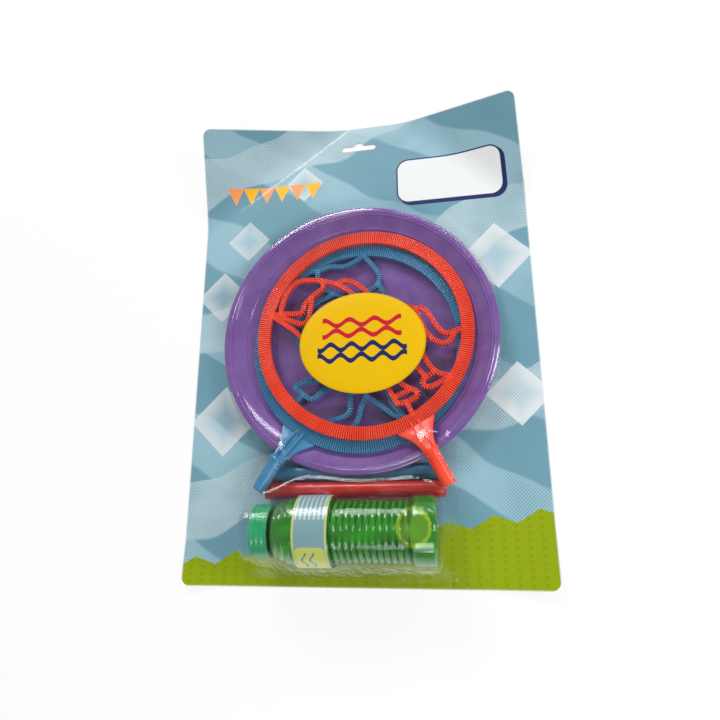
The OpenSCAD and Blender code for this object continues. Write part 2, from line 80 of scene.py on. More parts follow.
CARD_LOW, CARD_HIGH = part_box("backing_card")
CARD_SIZE = (CARD_HIGH.x - CARD_LOW.x, CARD_HIGH.y - CARD_LOW.y)
TRAY_LOW, TRAY_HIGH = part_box("bubble_tray")
TRAY_MIDDLE = (TRAY_LOW + TRAY_HIGH) / 2
TRAY_RADIUS = (TRAY_HIGH.x - TRAY_LOW.x) / 2
BOTTLE_LOW, BOTTLE_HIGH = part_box("bottle")
BOTTLE_RADIUS = (BOTTLE_HIGH.z - BOTTLE_LOW.z) / 2
BOTTLE_AXIS = (BOTTLE_LOW + BOTTLE_HIGH) / 2
BOTTLE_FOOT = Matrix.Translation((BOTTLE_HIGH.x, BOTTLE_AXIS.y, BOTTLE_AXIS.z))
BOTTLE_PLACE = BOTTLE_FOOT @ Matrix.Rotation(-QUARTER, 4, "Y")
STICKER_LOW, STICKER_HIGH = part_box("oval_sticker")
STICKER_MIDDLE = (STICKER_LOW + STICKER_HIGH) / 2
STICKER_HALF = (STICKER_HIGH - STICKER_LOW) / 2


def linear(*rgb):
    """A colour written in 0 to 255 as Blender's linear values."""
    return [((c / 255 + 0.055) / 1.055) ** 2.4 if c > 10 else c / 255 / 12.92 for c in rgb]


def number(name, words, value, **kind):
    """A number setting."""
    return FloatProperty(name=name, description=words, default=value, **kind)


def length(name, words, millimetres):
    """A length setting."""
    return number(name, words, millimetres * MM, min=0, precision=5, unit="LENGTH")


def turn(name, words, degrees):
    """An angle setting."""
    return number(name, words, math.radians(degrees), subtype="ANGLE")


def share(name, words, value):
    """A setting from 0 to 1."""
    return number(name, words, value, min=0, max=1, subtype="FACTOR")


def count(name, words, value):
    """A whole number setting, of 3 or more."""
    return IntProperty(name=name, description=words, default=value, min=3)


def several(name, words, values, **kind):
    """A setting of several numbers."""
    return FloatVectorProperty(name=name, description=words, default=values, size=len(values), **kind)


def tone(name, words, *rgb):
    """A colour setting."""
    return several(name, words, linear(*rgb), min=0, max=1, subtype="COLOR")


def spot(name, words, *millimetres):
    """A setting of lengths along the axes."""
    return several(name, words, [c * MM for c in millimetres], precision=5, unit="LENGTH", subtype="XYZ")


class CardSettings(bpy.types.PropertyGroup):
    """Sizes and colours of the backing card."""

    corner: length("Corner radius", "Radius of the card's corners", 8)
    board: length("Board thickness", "Thickness of the card", 0.6)
    fold_radius: length("Fold radius", "Radius of the bend in each fold", 40)
    left_fold: turn("Left fold", "Angle of the upper left corner", 32)
    left_legs: spot("Left legs", "Reach of that fold along the top and the side", 140, 100)
    right_fold: turn("Right fold", "Angle of the upper right corner", 30)
    right_legs: spot("Right legs", "Reach of that fold along the top and the side", 116, 110)
    low_left_fold: turn("Lower left fold", "Angle of the lower left corner", 10)
    low_left_legs: spot("Lower left legs", "Reach of that fold along the foot and the side", 36, 42)
    low_right_fold: turn("Lower right fold", "Angle of the lower right corner", 13)
    low_right_legs: spot("Lower right legs", "Reach of that fold along the foot and the side", 50, 52)
    slot_width: length("Slot width", "Width of the hang slot", 32)
    slot_height: length("Slot height", "Height of the hang slot's bar", 5)
    slot_notch: length("Slot notch", "Radius of the notch over the slot", 5.5)
    slot_drop: length("Slot drop", "Depth of the slot below the top edge", 22)
    columns: count("Columns", "Cells across the sheet", 96)
    rows: count("Rows", "Cells down the sheet between its corners", 136)
    sky: tone("Sky", "Main colour of the print", 152, 190, 203)
    sky_deep: tone("Deep sky", "Colour of the darker bands", 112, 158, 174)
    sky_pale: tone("Pale sky", "Colour of the paler bands", 190, 212, 219)
    grass: tone("Grass", "Colour of the lower band", 144, 164, 0)
    paper: tone("Paper", "Colour of the blank panel", 232, 234, 234)
    ink: tone("Ink", "Colour of the panel's edge", 34, 44, 92)
    amber: tone("Amber", "First colour of the pennants", 250, 186, 40)
    coral: tone("Coral", "Second colour of the pennants", 255, 160, 97)
    kraft: tone("Kraft", "Colour of the unprinted board", 168, 132, 92)


class TraySettings(bpy.types.PropertyGroup):
    """Sizes and colour of the dip tray."""

    floor_radius: length("Floor radius", "Radius of the flat floor", 77)
    step_radius: length("Step radius", "Radius where the slope turns steeper", 98.5)
    step_height: length("Step height", "Height of the surface at the step", 7.9)
    wall: length("Wall", "Thickness of the tray", 1.2)
    blend: length("Blend", "Reach of the rounding between slopes", 5)
    rim: length("Rim width", "Width of the rolled rim", 7)
    roll: turn("Roll", "Angle over which the rim is rolled", 150)
    bead: length("Bead height", "Height of the round beads on the rim and the step", 0.4)
    bead_width: length("Bead width", "Half the width of those beads", 1.0)
    bead_inset: length("Bead inset", "Shift of the rim's beads from its edge, twice that at its crest", 0.4)
    sides: count("Sides", "Sides of the turned tray", 256)
    plastic: tone("Plastic", "Colour of the tray", 120, 82, 158)


class WandSettings(bpy.types.PropertyGroup):
    """Sizes, places and colours of the two wand heads."""

    hoop: length("Hoop radius", "Outer radius of the hoop", 91)
    hoop_points: count("Hoop points", "Points along the hoop's path", 360)
    band: length("Band width", "Width of the hoop's band", 10.7)
    thickness: length("Thickness", "Thickness of hoop and figure", 4)
    stroke: length("Stroke width", "Width of a stroke of the figure", 4)
    rounds: count("Rounds", "Rounds of smoothing of the figure's strokes", 3)
    pitch: length("Rib pitch", "Distance from rib to rib", 1.82)
    rib: length("Rib breadth", "Breadth of a rib", 1.25)
    depth: length("Rib depth", "Depth of the grooves between ribs", 0.9)
    # Painted shade: how far the colour is darkened in the grooves between ribs
    painted_groove_shade: share("Groove shade", "How much deeper the colour is between ribs", 1.0)
    gusset: length("Gusset length", "Length from hoop to collar", 27)
    gusset_width: length("Gusset width", "Width of the gusset at the hoop", 32)
    gusset_plate: length("Gusset plate", "Thickness of the gusset", 2.2)
    root: length("Root", "Reach of the gusset into the band", 3)
    rail: length("Rail width", "Width of each of the gusset's two rails", 1.5)
    rail_place: length("Rail place", "Distance of a rail from the gusset's middle", 3.25)
    rail_height: length("Rail height", "Height of a rail over the plate", 2.4)
    bevel: length("Bevel", "Rounding of the gusset's edges", 0.3)
    crank: turn("Crank", "Climb of the gusset over the tray's rim", 23)
    pivot: share("Pivot", "Height at which the gusset turns up, as a share of the thickness", 0.58)
    collar: length("Collar radius", "Radius of the collar", 6.4)
    collar_depth: length("Collar length", "Length of the collar", 3)
    stem: length("Stem radius", "Radius of the stem", 5.4)
    stem_reach: length("Stem length", "Length of the stem past the collar", 27)
    stem_wall: length("Stem wall", "Wall of the stem", 1.2)
    stem_slope: turn("Stem slope", "Slope of the stem below the hoop's plane", 6.5)
    chamfer: length("Chamfer", "Chamfer of the collar and the stem's end", 0.6)
    edge: length("Edge", "Rounding of the collar's and the stem's edges", 0.4)
    sides: count("Sides", "Sides of the turned stem", 64)
    tilt: turn("Tilt", "Tilt of both hoops in the tray", 1.452)
    orange_place: spot("Orange place", "Centre of the orange hoop's underside", 5.2, -2.9, 11.016)
    blue_place: spot("Blue place", "Centre of the blue hoop's underside", 1.3, -12.6, 6.96)
    orange_turn: turn("Orange turn", "Turn of the orange stem", 27.5)
    blue_turn: turn("Blue turn", "Turn of the blue stem", -33.8)
    orange: tone("Orange plastic", "Colour of the orange head", 255, 66, 26)
    blue: tone("Blue plastic", "Colour of the blue head", 54, 130, 176)


class TubeSettings(bpy.types.PropertyGroup):
    """Sizes and colours of the two handle tubes."""

    bore: length("Bore radius", "Inner radius of a tube", 5.5)
    chamfer: length("Chamfer", "Chamfer on the tube's ends", 0.35)
    crown: length("Crown", "Distance of that chamfer's round crest from the faces", 0.105)
    mouth: length("Mouth", "Chamfer inside the tube's ends", 0.175)
    rings: count("Rings", "Rows of faces along a tube", 24)
    sides: count("Sides", "Sides of a turned tube", 96)
    red: tone("Red plastic", "Colour of the orange wand's tube", 206, 32, 20)
    blue: tone("Blue plastic", "Colour of the blue wand's tube", 52, 114, 148)


class BottleSettings(bpy.types.PropertyGroup):
    """Sizes and colours of the bottle, its cap, label and contents."""

    ribs: count("Ribs", "Number of ribs round the body", 12)
    pitch: length("Rib pitch", "Distance from rib to rib", 4.7)
    rib_steps: count("Rib steps", "Faces along a rib's curve", 10)
    rib_radius: length("Rib radius", "Radius over the ribs", 24.2)
    groove: length("Groove depth", "Depth of the grooves between ribs", 1.8)
    base: length("Base length", "Length of the smooth base", 20.2)
    heel: length("Heel", "Rounding of the base's edge", 5)
    base_blend: length("Base blend", "Rounding between base and ribs", 2)
    panel: length("Panel length", "Length of the label panel", 27.4)
    panel_margin: length("Panel margin", "Slope between the ribs and the panel", 0.6)
    panel_blend: length("Panel blend", "Rounding of the panel's edge", 1)
    recess: length("Recess", "Depth of the panel below the base", 0.3)
    shoulder: length("Shoulder length", "Length of the stepped shoulder", 19.6)
    shoulder_blend: length("Shoulder blend", "Rounding of the shoulder's steps", 1.6)
    wall: length("Wall", "Wall of the bottle", 1)
    neck: length("Neck radius", "Radius of the neck", 17.6)
    neck_wall: length("Neck wall", "Wall of the neck", 2)
    neck_edge: length("Neck edge", "Chamfer on the neck's end", 0.3)
    gap: length("Gap", "Room between the bottle and the solution or the cap", 0.3)
    cap_wall: length("Cap end", "Thickness of the cap's end", 1.5)
    cap_edge: length("Cap edge", "Rounding of the cap's edge", 1.8)
    cap_foot: length("Cap foot", "Chamfer on the cap's open end", 0.4)
    cap_ring: length("Cap ring", "Width of the raised ring on the cap's end", 3)
    cap_ring_height: length("Cap ring height", "Height of that ring", 0.4)
    grip: length("Grip", "Depth of the waves round the cap", 0.35)
    grip_waves: count("Grip waves", "Number of those waves", 3)
    label_gauge: length("Label gauge", "Thickness of the label", 0.15)
    label_gap: length("Label gap", "Room between the label and the panel", 0.05)
    label_half: turn("Label wrap", "Half the angle that the label goes round", 150)
    label_steps: count("Label steps", "Faces round the label", 120)
    level: length("Fill level", "Level of the solution above the bottle's axis", 21)
    sides: count("Sides", "Sides of the turned pieces", 128)
    tint: tone("Tint", "Tint of the clear bottle", 214, 240, 214)
    solution: tone("Solution", "Colour of the bubble solution", 34, 138, 10)
    froth: tone("Froth", "Colour of the froth and the air bubble", 134, 172, 24)
    cap: tone("Cap", "Colour of the cap", 10, 158, 97)
    label: tone("Label", "Main colour of the label", 120, 158, 164)
    label_stripe: tone("Label stripe", "Colour of the label's stripes", 239, 247, 250)
    label_patch: tone("Label patch", "Colour of the label's patch", 196, 208, 96)
    label_ink: tone("Label ink", "Colour of the lines on the patch", 63, 97, 160)
    liner: tone("Liner", "Colour of the cap's liner", 232, 230, 220)


class FilmSettings(bpy.types.PropertyGroup):
    """Sizes and colours of the clear film and its sticker."""

    gauge: length("Gauge", "Thickness of the film", 0.1)
    lift: length("Lift", "Room between the film and the pieces", 0.35)
    seal: length("Seal", "Width of the sealed edge", 3)
    cap_room: length("Cap room", "Reach of the film past the cap", 21.5)
    base_room: length("Base room", "Reach of the film past the bottle's base", 17)
    cell: length("Cell", "Cell of the film's mesh", 1.5)
    split: count("Split", "Fine cells to each cell of the mesh", 3)
    stand_off: count("Stand-off", "Fine cells that the film keeps from an edge", 4)
    skirt: turn("Skirt", "Slope of the film beside the pieces", 78)
    blur: count("Blur", "Passes that round the film's edges", 12)
    draw: number("Draw", "Bend of the film, per metre, where the card draws it down", 110.0)
    tray_draw: number("Tray draw", "Bend of the film, per metre, over the tray", 2.0)
    passes: count("Passes", "Steps of the film's settling", 1600)
    glue: length("Glue", "Room between the film and the sticker", 0.03)
    glue_reach: share("Glue reach", "How far past the sticker the film lies flat, as a share of it", 0.02)
    sticker_edge: length("Sticker edge", "Width of the sticker's rounded edge", 0.4)
    sticker_cut: length("Sticker cut", "Height of that edge's widest line", 0.08)
    sticker_sides: count("Sticker sides", "Points round the sticker", 160)
    sheen: tone("Sheen", "Colour of the film's gloss", 250, 252, 255)
    sticker: tone("Sticker", "Main colour of the sticker", 233, 186, 0)
    sticker_red: tone("Sticker red", "Colour of the upper waves", 196, 30, 48)
    sticker_navy: tone("Sticker navy", "Colour of the lower waves", 30, 40, 92)


class StageSettings(bpy.types.PropertyGroup):
    """Camera, lights and floor."""

    eye: spot("Camera", "Place of the camera", 83.36, -152.24, 457.07)
    facing: several("Facing", "Turn of the camera about X, Y and Z",
                    [math.radians(a) for a in (15.388, 10.422, -0.309)], subtype="EULER")
    sensor: number("Sensor", "Width of the camera's sensor in millimetres", 36, unit="CAMERA")
    lens: number("Lens", "Focal length on that sensor in millimetres", 28.55, unit="CAMERA")
    lamp: number("Lamp", "Power of the main softbox", 12.5, min=0, unit="POWER")
    world: share("World", "Level of the light all round", 0.3)
    floor: tone("Floor", "Colour of the floor", 250, 250, 250)
    floor_glow: share("Floor glow", "Share of plain white in the floor as it is seen", 0.82)
    floor_reach: length("Floor reach", "Half the width of the floor", 3000)
    floor_gap: length("Floor gap", "Depth of the floor below the card", 0.4)


def add_node(tree, kind, settings=None, sockets=None):
    """One node: its settings first, then the values or links of its sockets."""
    node = tree.nodes.new(kind)
    for name, value in (settings or {}).items():
        setattr(node, name, value)
    for key, value in (sockets or {}).items():
        value = getattr(value, "socket", value)
        if isinstance(value, bpy.types.NodeSocket):
            tree.links.new(value, node.inputs[key])
        else:
            node.inputs[key].default_value = value
    return node


def reckoner(operation, swapped=False):
    """A method of a number in a node tree that adds one Math node."""
    def method(self, *others):
        items = (*others, self) if swapped else (self, *others)
        node = add_node(self.tree, "ShaderNodeMath", {"operation": operation}, dict(enumerate(items)))
        return Value(self.tree, node.outputs[0])
    return method


class Value:
    """A number in a node tree: expressions on it add Math nodes."""

    def __init__(self, tree, socket):
        self.tree = tree
        self.socket = socket

    __add__ = __radd__ = reckoner("ADD")
    __sub__ = reckoner("SUBTRACT")
    __rsub__ = reckoner("SUBTRACT", swapped=True)
    __mul__ = __rmul__ = reckoner("MULTIPLY")
    __truediv__ = reckoner("DIVIDE")
    __abs__ = reckoner("ABSOLUTE")
    fraction = reckoner("FRACT")
    sine = reckoner("SINE")
    root = reckoner("SQRT")
    least = reckoner("MINIMUM")
    most = reckoner("MAXIMUM")

    def __neg__(self):
        return self * -1

    def rise(self, low, high):
        """0 below low, 1 above high and smooth between."""
        node = add_node(self.tree, "ShaderNodeMapRange", {"interpolation_type": "SMOOTHSTEP"},
                        {0: self, 1: low, 2: high})
        return Value(self.tree, node.outputs[0])

    def edge(self, blur=0.3):
        """0 below 0 and 1 above it, blurred over that much on both sides."""
        return self.rise(-blur, blur)


class Finish:
    """A procedural material in the making."""

    def __init__(self, name):
        self.material = bpy.data.materials.new(name)
        self.material.use_nodes = True
        self.tree = self.material.node_tree
        self.tree.nodes.clear()

    def node(self, kind, settings=None, sockets=None):
        """One node of the material."""
        return add_node(self.tree, kind, settings, sockets)

    def value(self, kind, settings=None, sockets=None, output=0):
        """One node's output as a number to reckon with."""
        return Value(self.tree, self.node(kind, settings, sockets).outputs[output])

    def split(self, socket, scale):
        """The parts of a vector, each times scale."""
        parts = self.node("ShaderNodeSeparateXYZ", None, {0: socket})
        return [Value(self.tree, out) * scale for out in parts.outputs]

    def place(self):
        """X, Y and Z on the object, in millimetres."""
        return self.split(self.node("ShaderNodeTexCoord").outputs["Object"], 1 / MM)

    def flat(self, width, height):
        """X and Y on the flat pattern, in millimetres from its middle."""
        u, v, _ = self.split(self.node("ShaderNodeTexCoord").outputs["UV"], 1)
        return (u - 0.5) * (width / MM), (v - 0.5) * (height / MM)

    def stored(self, name):
        """A number stored on the mesh."""
        return self.value("ShaderNodeAttribute", {"attribute_name": name}, None, "Fac")

    def point(self, place, scale=1):
        """A vector of three numbers, times one scale or a scale for each."""
        scales = scale if isinstance(scale, tuple) else (scale,) * 3
        parts = dict(enumerate(c * s for c, s in zip(place, scales)))
        return self.node("ShaderNodeCombineXYZ", None, parts).outputs[0]

    def noise(self, place, scale, detail=2.0):
        """Noise from 0 to 1 at a place times a scale."""
        sockets = {"Vector": self.point(place, scale), "Scale": 1.0, "Detail": detail}
        return self.value("ShaderNodeTexNoise", None, sockets)

    def mix(self, amount, low, high):
        """A colour between two others."""
        pair = {6: colour(low), 7: colour(high)}
        return self.node("ShaderNodeMix", {"data_type": "RGBA"}, {0: amount, **pair}).outputs[2]

    def gloss(self, face_on=0.035):
        """Share of light that clear plastic throws back, from face_on to 1 along the surface."""
        lean = self.value("ShaderNodeLayerWeight", None, {"Blend": 0.5}, "Facing")
        square = lean * lean
        return square * square * lean * (1 - face_on) + face_on

    def bump(self, height, depth):
        """A normal from a height of 0 to 1, on a depth in millimetres."""
        sockets = {"Strength": 1.0, "Distance": depth * MM, "Height": height}
        return self.node("ShaderNodeBump", None, sockets).outputs[0]

    def close(self, **sockets):
        """Ends the material in a Principled shader with these sockets."""
        named = {name.replace("_", " "): value for name, value in sockets.items()}
        named["Base Color"] = colour(named["Base Color"])
        shader = self.node("ShaderNodeBsdfPrincipled", None, named)
        self.node("ShaderNodeOutputMaterial", None, {"Surface": shader.outputs[0]})
        return self.material


def colour(value):
    """A setting's colour with its alpha, or a socket as it is."""
    return value if isinstance(value, bpy.types.NodeSocket) else (*value, 1.0)


def scaled(base, factor):
    """A colour made deeper or lighter."""
    return [min(1, c * factor) for c in base]


def moulded(name, base, shade=0.12, roughness=0.3, coat=0.25, grain=0.04, groove=0.0):
    """Moulded plastic: faint clouding, a fine grain, a soft gloss and, between ribs, painted shade."""
    finish = Finish(name)
    place = finish.place()
    cloud = finish.noise(place, 0.06, detail=3.0)
    fine = finish.noise(place, 1.7)
    deep, pale = scaled(base, 1 - shade), [c + (1 - c) * shade * 0.25 for c in base]
    tint = finish.mix(cloud.rise(0.3, 0.7), deep, pale)
    if groove:
        # Painted shade: the core between the ribs, marked by the stored groove attribute, is darkened as if in
        # shadow
        shadow = scaled(base, 0.15)
        tint = finish.mix(finish.stored("groove") * groove, tint, shadow)
    return finish.close(
        Base_Color=tint,
        Specular_IOR_Level=0.3,
        Roughness=fine * 0.1 + (roughness - 0.05),
        Coat_Weight=coat,
        Coat_Roughness=0.06,
        Normal=finish.bump(fine, depth=grain),
    )


def board(name, base):
    """Grey-brown board with short fibres."""
    finish = Finish(name)
    place = finish.place()
    fibre = finish.noise(place, (0.5, 2.6, 1.0), detail=4.0)
    fleck = finish.noise(place, 2.1, detail=1.0).rise(0.62, 0.7)
    tint = finish.mix(fibre, scaled(base, 0.8), scaled(base, 1.15))
    return finish.close(
        Base_Color=finish.mix(fleck * 0.35, tint, scaled(base, 0.55)),
        Roughness=fibre * 0.15 + 0.7,
        Normal=finish.bump(fibre, depth=0.05),
    )


def panel_distance(x, y, middle, half, corner):
    """Distance in millimetres from the edge of a rounded panel, below 0 inside."""
    across = (abs(x - middle[0]) - (half[0] - corner)).most(0)
    up = (abs(y - middle[1]) - (half[1] - corner)).most(0)
    return (across * across + up * up).root() - corner


# Diamonds of the print: middle and reach in millimetres, and strength
DIAMONDS = (
    ((118, 62), 30, 0.7), ((128, -58), 26, 0.75), ((-52, 150), 18, 0.6),
    ((-126, 42), 24, 0.55), ((-118, -72), 30, 0.6), ((-104, 96), 20, 0.5),
)


def print_sky(finish, look, x, y):
    """Slanted bands and pale streaks of sky under a diagonal halftone."""
    band_pitch, band_slope, streak_pitch, streak_slope, dot_pitch = 96, 0.55, 150, 0.35, 1.9
    wave = finish.noise((x, y, 0.0), 0.011, detail=1.0)
    band = ((x * band_slope + y) / band_pitch + wave * 0.5).fraction()
    tint = finish.mix(abs(band - 0.5).rise(0.2, 0.24), look.sky, look.sky_deep)
    streak = ((y - x * streak_slope) / streak_pitch + wave * 0.4 + 0.3).fraction()
    tint = finish.mix(streak.rise(0.7, 0.72) * 0.75, tint, look.sky_pale)
    across, down = ((side * (math.sqrt(0.5) / dot_pitch)).fraction() - 0.5 for side in (x + y, x - y))
    shade_place = (x + 350, y, 150.0)
    shade = finish.noise(shade_place, 0.02).rise(0.35, 0.75)
    dot = (shade * 0.14 + 0.03 - (across * across + down * down)).edge(0.012)
    return finish.mix(dot * 0.8, tint, scaled(look.sky_deep, 0.8))


def print_diamonds(finish, look, x, y, tint):
    """Pale diamonds that fade towards their middles."""
    for middle, reach, strength in DIAMONDS:
        inward = reach - abs(x - middle[0]) - abs(y - middle[1])
        fade = (inward / reach).rise(0.0, 0.9) * 0.7
        tint = finish.mix(inward.edge() * (1 - fade) * strength, tint, look.paper)
    return tint


def print_turf(finish, look, x, y, tint):
    """A green band with a toothed edge and rows of small ticks."""
    level, slope, tooth_pitch, tooth_height = -172, 0.13, 34, 8
    tick_pitch, row_pitch = 9.5, 5.2
    saw = abs((x / tooth_pitch).fraction() - 0.5) * (2 * tooth_height)
    ground = (x * slope + saw + level - y).edge(0.4)
    row = abs((y / row_pitch).fraction() - 0.5)
    tick = abs((x / tick_pitch + row).fraction() - 0.5)
    ticks = (0.09 - tick).edge(0.02) * (0.3 - row).edge(0.03)
    return finish.mix(ground, tint, finish.mix(ticks * 0.5, look.grass, scaled(look.grass, 0.6)))


def print_pennants(finish, look, x, y, tint):
    """A row of pennants in two warm colours."""
    start, end, pitch, line, drop = -126, -36, 15, 150, 16
    hang = abs(((x - start) / pitch).fraction() - 0.5)
    flag = (drop - hang * (2 * drop) - abs(y - line)).edge(0.4) * (line + 0.6 - y).rise(0.0, 0.4)
    stretch = (x - start).edge() * (end - x).edge()
    second = ((x - start) / (2 * pitch) + 0.5).fraction().rise(0.495, 0.505)
    return finish.mix(flag * stretch, tint, finish.mix(second, look.amber, look.coral))


def print_panel(finish, look, x, y, tint):
    """A blank panel with an ink line and an ink shadow."""
    middle_x, middle_y, half, corner = 82, 142, (46, 21), 10
    drop, shadow_line, line = 2.5, 1.6, 1.3
    plate = panel_distance(x, y, (middle_x, middle_y), half, corner)
    shadow = panel_distance(x, y, (middle_x + drop, middle_y - drop), half, corner)
    for inward, ink in ((shadow_line - shadow, look.ink), (line - plate, look.ink), (-plate, look.paper)):
        tint = finish.mix(inward.edge(), tint, ink)
    return tint


def printed(name, look):
    """The card's print, with white wear along the card's edges and, along the left fold, a white streak that is
    partly wear and partly a painted highlight.
    """
    finish = Finish(name)
    x, y = finish.flat(*CARD_SIZE)
    tint = print_sky(finish, look, x, y)
    for motif in (print_diamonds, print_turf, print_pennants, print_panel):
        tint = motif(finish, look, x, y, tint)

    half_w, half_h = (side / MM / 2 for side in CARD_SIZE)
    leg_x, leg_y = (leg / MM for leg in look.left_legs)
    crease = (1 - (x + half_w) / leg_x - (half_h - y) / leg_y) * (leg_x * leg_y / math.hypot(leg_x, leg_y))
    crease_foot, crease_fade, half_mark, border_width = 122, 30, 0.9, 0.9
    worn = finish.noise((x, y, 5.0), (0.3, 0.3, 1.0), detail=3.0)
    rough = finish.noise((x, y, 9.0), (0.8, 0.8, 1.0))
    # White streak along the left fold: partly wear of the print on the crease, partly a painted highlight
    crease_wear_and_highlight = (half_mark + worn * 1.4 - abs(crease - 1)).rise(0.0, 0.9) * worn.rise(0.3, 0.55)
    crease_wear_and_highlight = crease_wear_and_highlight * (y - crease_foot).rise(0, crease_fade)
    border = (abs(x) - (half_w - border_width)).most(abs(y) - (half_h - border_width)) + rough * 0.9
    return finish.close(
        Base_Color=finish.mix(crease_wear_and_highlight.most(border.rise(0.3, 0.9)) * 0.6, tint, look.paper),
        Specular_IOR_Level=0.25,
        Roughness=worn * 0.1 + 0.34,
        Coat_Weight=0.1,
        Coat_Roughness=0.1,
        Normal=finish.bump(rough, depth=0.03),
    )


def clear_bottle(name, base):
    """Clear blown plastic: gloss that grows towards the edges and faint flow lines."""
    finish = Finish(name)
    flow = finish.noise(finish.place(), (0.5, 0.12, 0.12))
    return finish.close(
        Base_Color=base,
        Metallic=1.0,
        Roughness=flow * 0.05 + 0.04,
        Alpha=(finish.gloss() * 0.7).least(0.8),
        Normal=finish.bump(flow, depth=0.12),
    )


def liquid(name, look):
    """Green solution, with a paler rim of froth round the air bubble at the base."""
    finish = Finish(name)
    x, y, z = place = finish.place()
    low, high = (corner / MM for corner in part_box("bubble_solution"))
    inset, shift, half_x, half_y, foot, fade = 16, 3, 13, 15, 38, 6
    middle_x, middle_y = high.x - inset, (low.y + high.y) / 2 + shift
    cloud = finish.noise(place, (0.05, 0.09, 0.09), detail=3.0)
    foam = finish.noise(place, 0.35)
    along, across = (x - middle_x) / half_x, (y - middle_y) / half_y
    reach = (along * along + across * across).root() + foam * 0.3
    air = (1.15 - reach).rise(0.0, 0.12) * (z - foot).rise(0, fade)
    rim = air * (reach - 0.85).rise(0.0, 0.15)
    body = finish.mix(cloud.rise(0.3, 0.75), scaled(look.solution, 0.7), scaled(look.solution, 1.35))
    body = finish.mix(air * 0.4, body, look.froth)
    return finish.close(
        Base_Color=finish.mix(rim * 0.8, body, scaled(look.froth, 1.3)),
        Roughness=foam * 0.1 + 0.1,
        Coat_Weight=0.6,
        Coat_Roughness=0.05,
        Normal=finish.bump(foam, depth=0.06),
    )


def label_paper(name, look, size):
    """The bottle's label: light blue with pale stripes, and a yellow-green patch with two wavy lines."""
    finish = Finish(name)
    x, y = finish.flat(*size)
    stripe_pitch, bare_x, bare_half, border_width = 3.4, -4, 12, 1.6
    patch_x, patch_half, patch_corner = -24, (13, 11), 4
    middle, shift, swing, half_line, half_row = 2, 3, 1.6, 0.9, 9
    grain = finish.noise((x, y, 0.0), 1.2, detail=3.0)
    stripe = abs((y / stripe_pitch).fraction() - 0.5).rise(0.3, 0.34)
    stripe = stripe * (abs(x - bare_x) - bare_half).rise(0, 0.6)
    tint = finish.mix(stripe * 0.45, look.label, look.label_stripe)
    patch = panel_distance(x, y, (patch_x, 0), patch_half, patch_corner)
    tint = finish.mix((-patch).edge(), tint, look.label_patch)
    wave = y - (x * 0.5).sine() * swing
    line = (half_line - abs(abs(wave - middle) - shift)).rise(0, 0.3)
    line = line * (half_row - abs(x - patch_x)).rise(0, 0.6)
    tint = finish.mix(line * 0.8, tint, look.label_ink)
    border = abs(y) - (size[1] / MM / 2 - border_width)
    return finish.close(
        Base_Color=finish.mix(border.edge(0.2) * 0.8, tint, look.label_patch),
        Roughness=grain * 0.1 + 0.28,
        Coat_Weight=0.2,
        Normal=finish.bump(grain, depth=0.02),
    )


def sticker_paper(name, look):
    """Yellow oval with red waves over navy waves and a darker rim."""
    finish = Finish(name)
    x, y = (c - middle / MM for c, middle in zip(finish.place(), STICKER_MIDDLE.xy))
    across, up = (c / (half / MM) for c, half in zip((x, y), STICKER_HALF.xy))
    reach = (across * across + up * up).root()
    grain = finish.noise((x, y, 0.0), 1.5, detail=3.0)
    tint = finish.mix(grain.rise(0.35, 0.65) * 0.4, look.sticker, scaled(look.sticker, 0.93))
    shift, swing, half_line, rim_share = 4.6, 2.6, 2.1, 0.975
    for level, half_row, step, ink in ((13, 33, 0.30, look.sticker_red), (-8, 37, 0.36, look.sticker_navy)):
        for side in (-shift, shift):
            wave = y - level - side - (x * step + side).sine() * swing
            line = (half_line - abs(wave)).edge(0.25) * (half_row - abs(x)).edge()
            tint = finish.mix(line, tint, ink)
    return finish.close(
        Base_Color=finish.mix((reach - rim_share).rise(0, 0.006) * 0.5, tint, scaled(look.sticker, 0.6)),
        Specular_IOR_Level=0.15,
        Roughness=grain * 0.08 + 0.42,
        Normal=finish.bump(grain, depth=0.02),
    )


def clear_film(name, look):
    """Clear film: gloss by angle, and wrinkles that run with the stored slopes and gather below the tray."""
    finish = Finish(name)
    place = finish.place()
    run_x, run_y, loose = (finish.stored(field) for field in ("run_x", "run_y", "loose"))
    up_folds = finish.noise(place, (0.34, 0.05, 0.05))
    side_folds = finish.noise(place, (0.05, 0.34, 0.05))
    ripple = finish.noise(place, 0.09)
    steep = (run_x * run_x + run_y * run_y).root()
    gather_y, gather_fade = -88, 14
    gather = (gather_y - place[1]).rise(0, gather_fade) * 0.85 + 0.15
    folds_height = (up_folds * run_y + side_folds * run_x) * 0.8
    height = (folds_height + ripple * (steep * 0.6 + loose * 0.03 + 0.02)) * gather
    return finish.close(
        Base_Color=look.sheen,
        Metallic=1.0,
        Roughness=ripple * 0.03 + 0.02,
        Alpha=(finish.gloss() * (loose * 0.4 + 0.1)).least(0.6),
        Normal=finish.bump(height, depth=0.7),
    )


def liner_foam(name, base):
    """Fine-celled foam."""
    finish = Finish(name)
    sockets = {"Vector": finish.point(finish.place()), "Scale": 2.2}
    cell = finish.value("ShaderNodeTexVoronoi", None, sockets)
    return finish.close(
        Base_Color=finish.mix(cell, scaled(base, 0.82), base),
        Roughness=cell * 0.1 + 0.75,
        Normal=finish.bump(cell, depth=0.1),
    )


def make_mesh(name, points, faces):
    """A mesh whose faces point outwards."""
    mesh = bpy.data.meshes.new(name)
    mesh.from_pydata([tuple(p) for p in points], [], [tuple(f) for f in faces])
    work = bmesh.new()
    work.from_mesh(mesh)
    bmesh.ops.recalc_face_normals(work, faces=work.faces)
    work.to_mesh(mesh)
    work.free()
    mesh.update()
    return mesh


def soften(mesh, crease):
    """Smooth shading, sharp only at edges past a crease in degrees."""
    mesh.polygons.foreach_set("use_smooth", [True] * len(mesh.polygons))
    mesh.set_sharp_from_angle(angle=math.radians(crease))
    return mesh


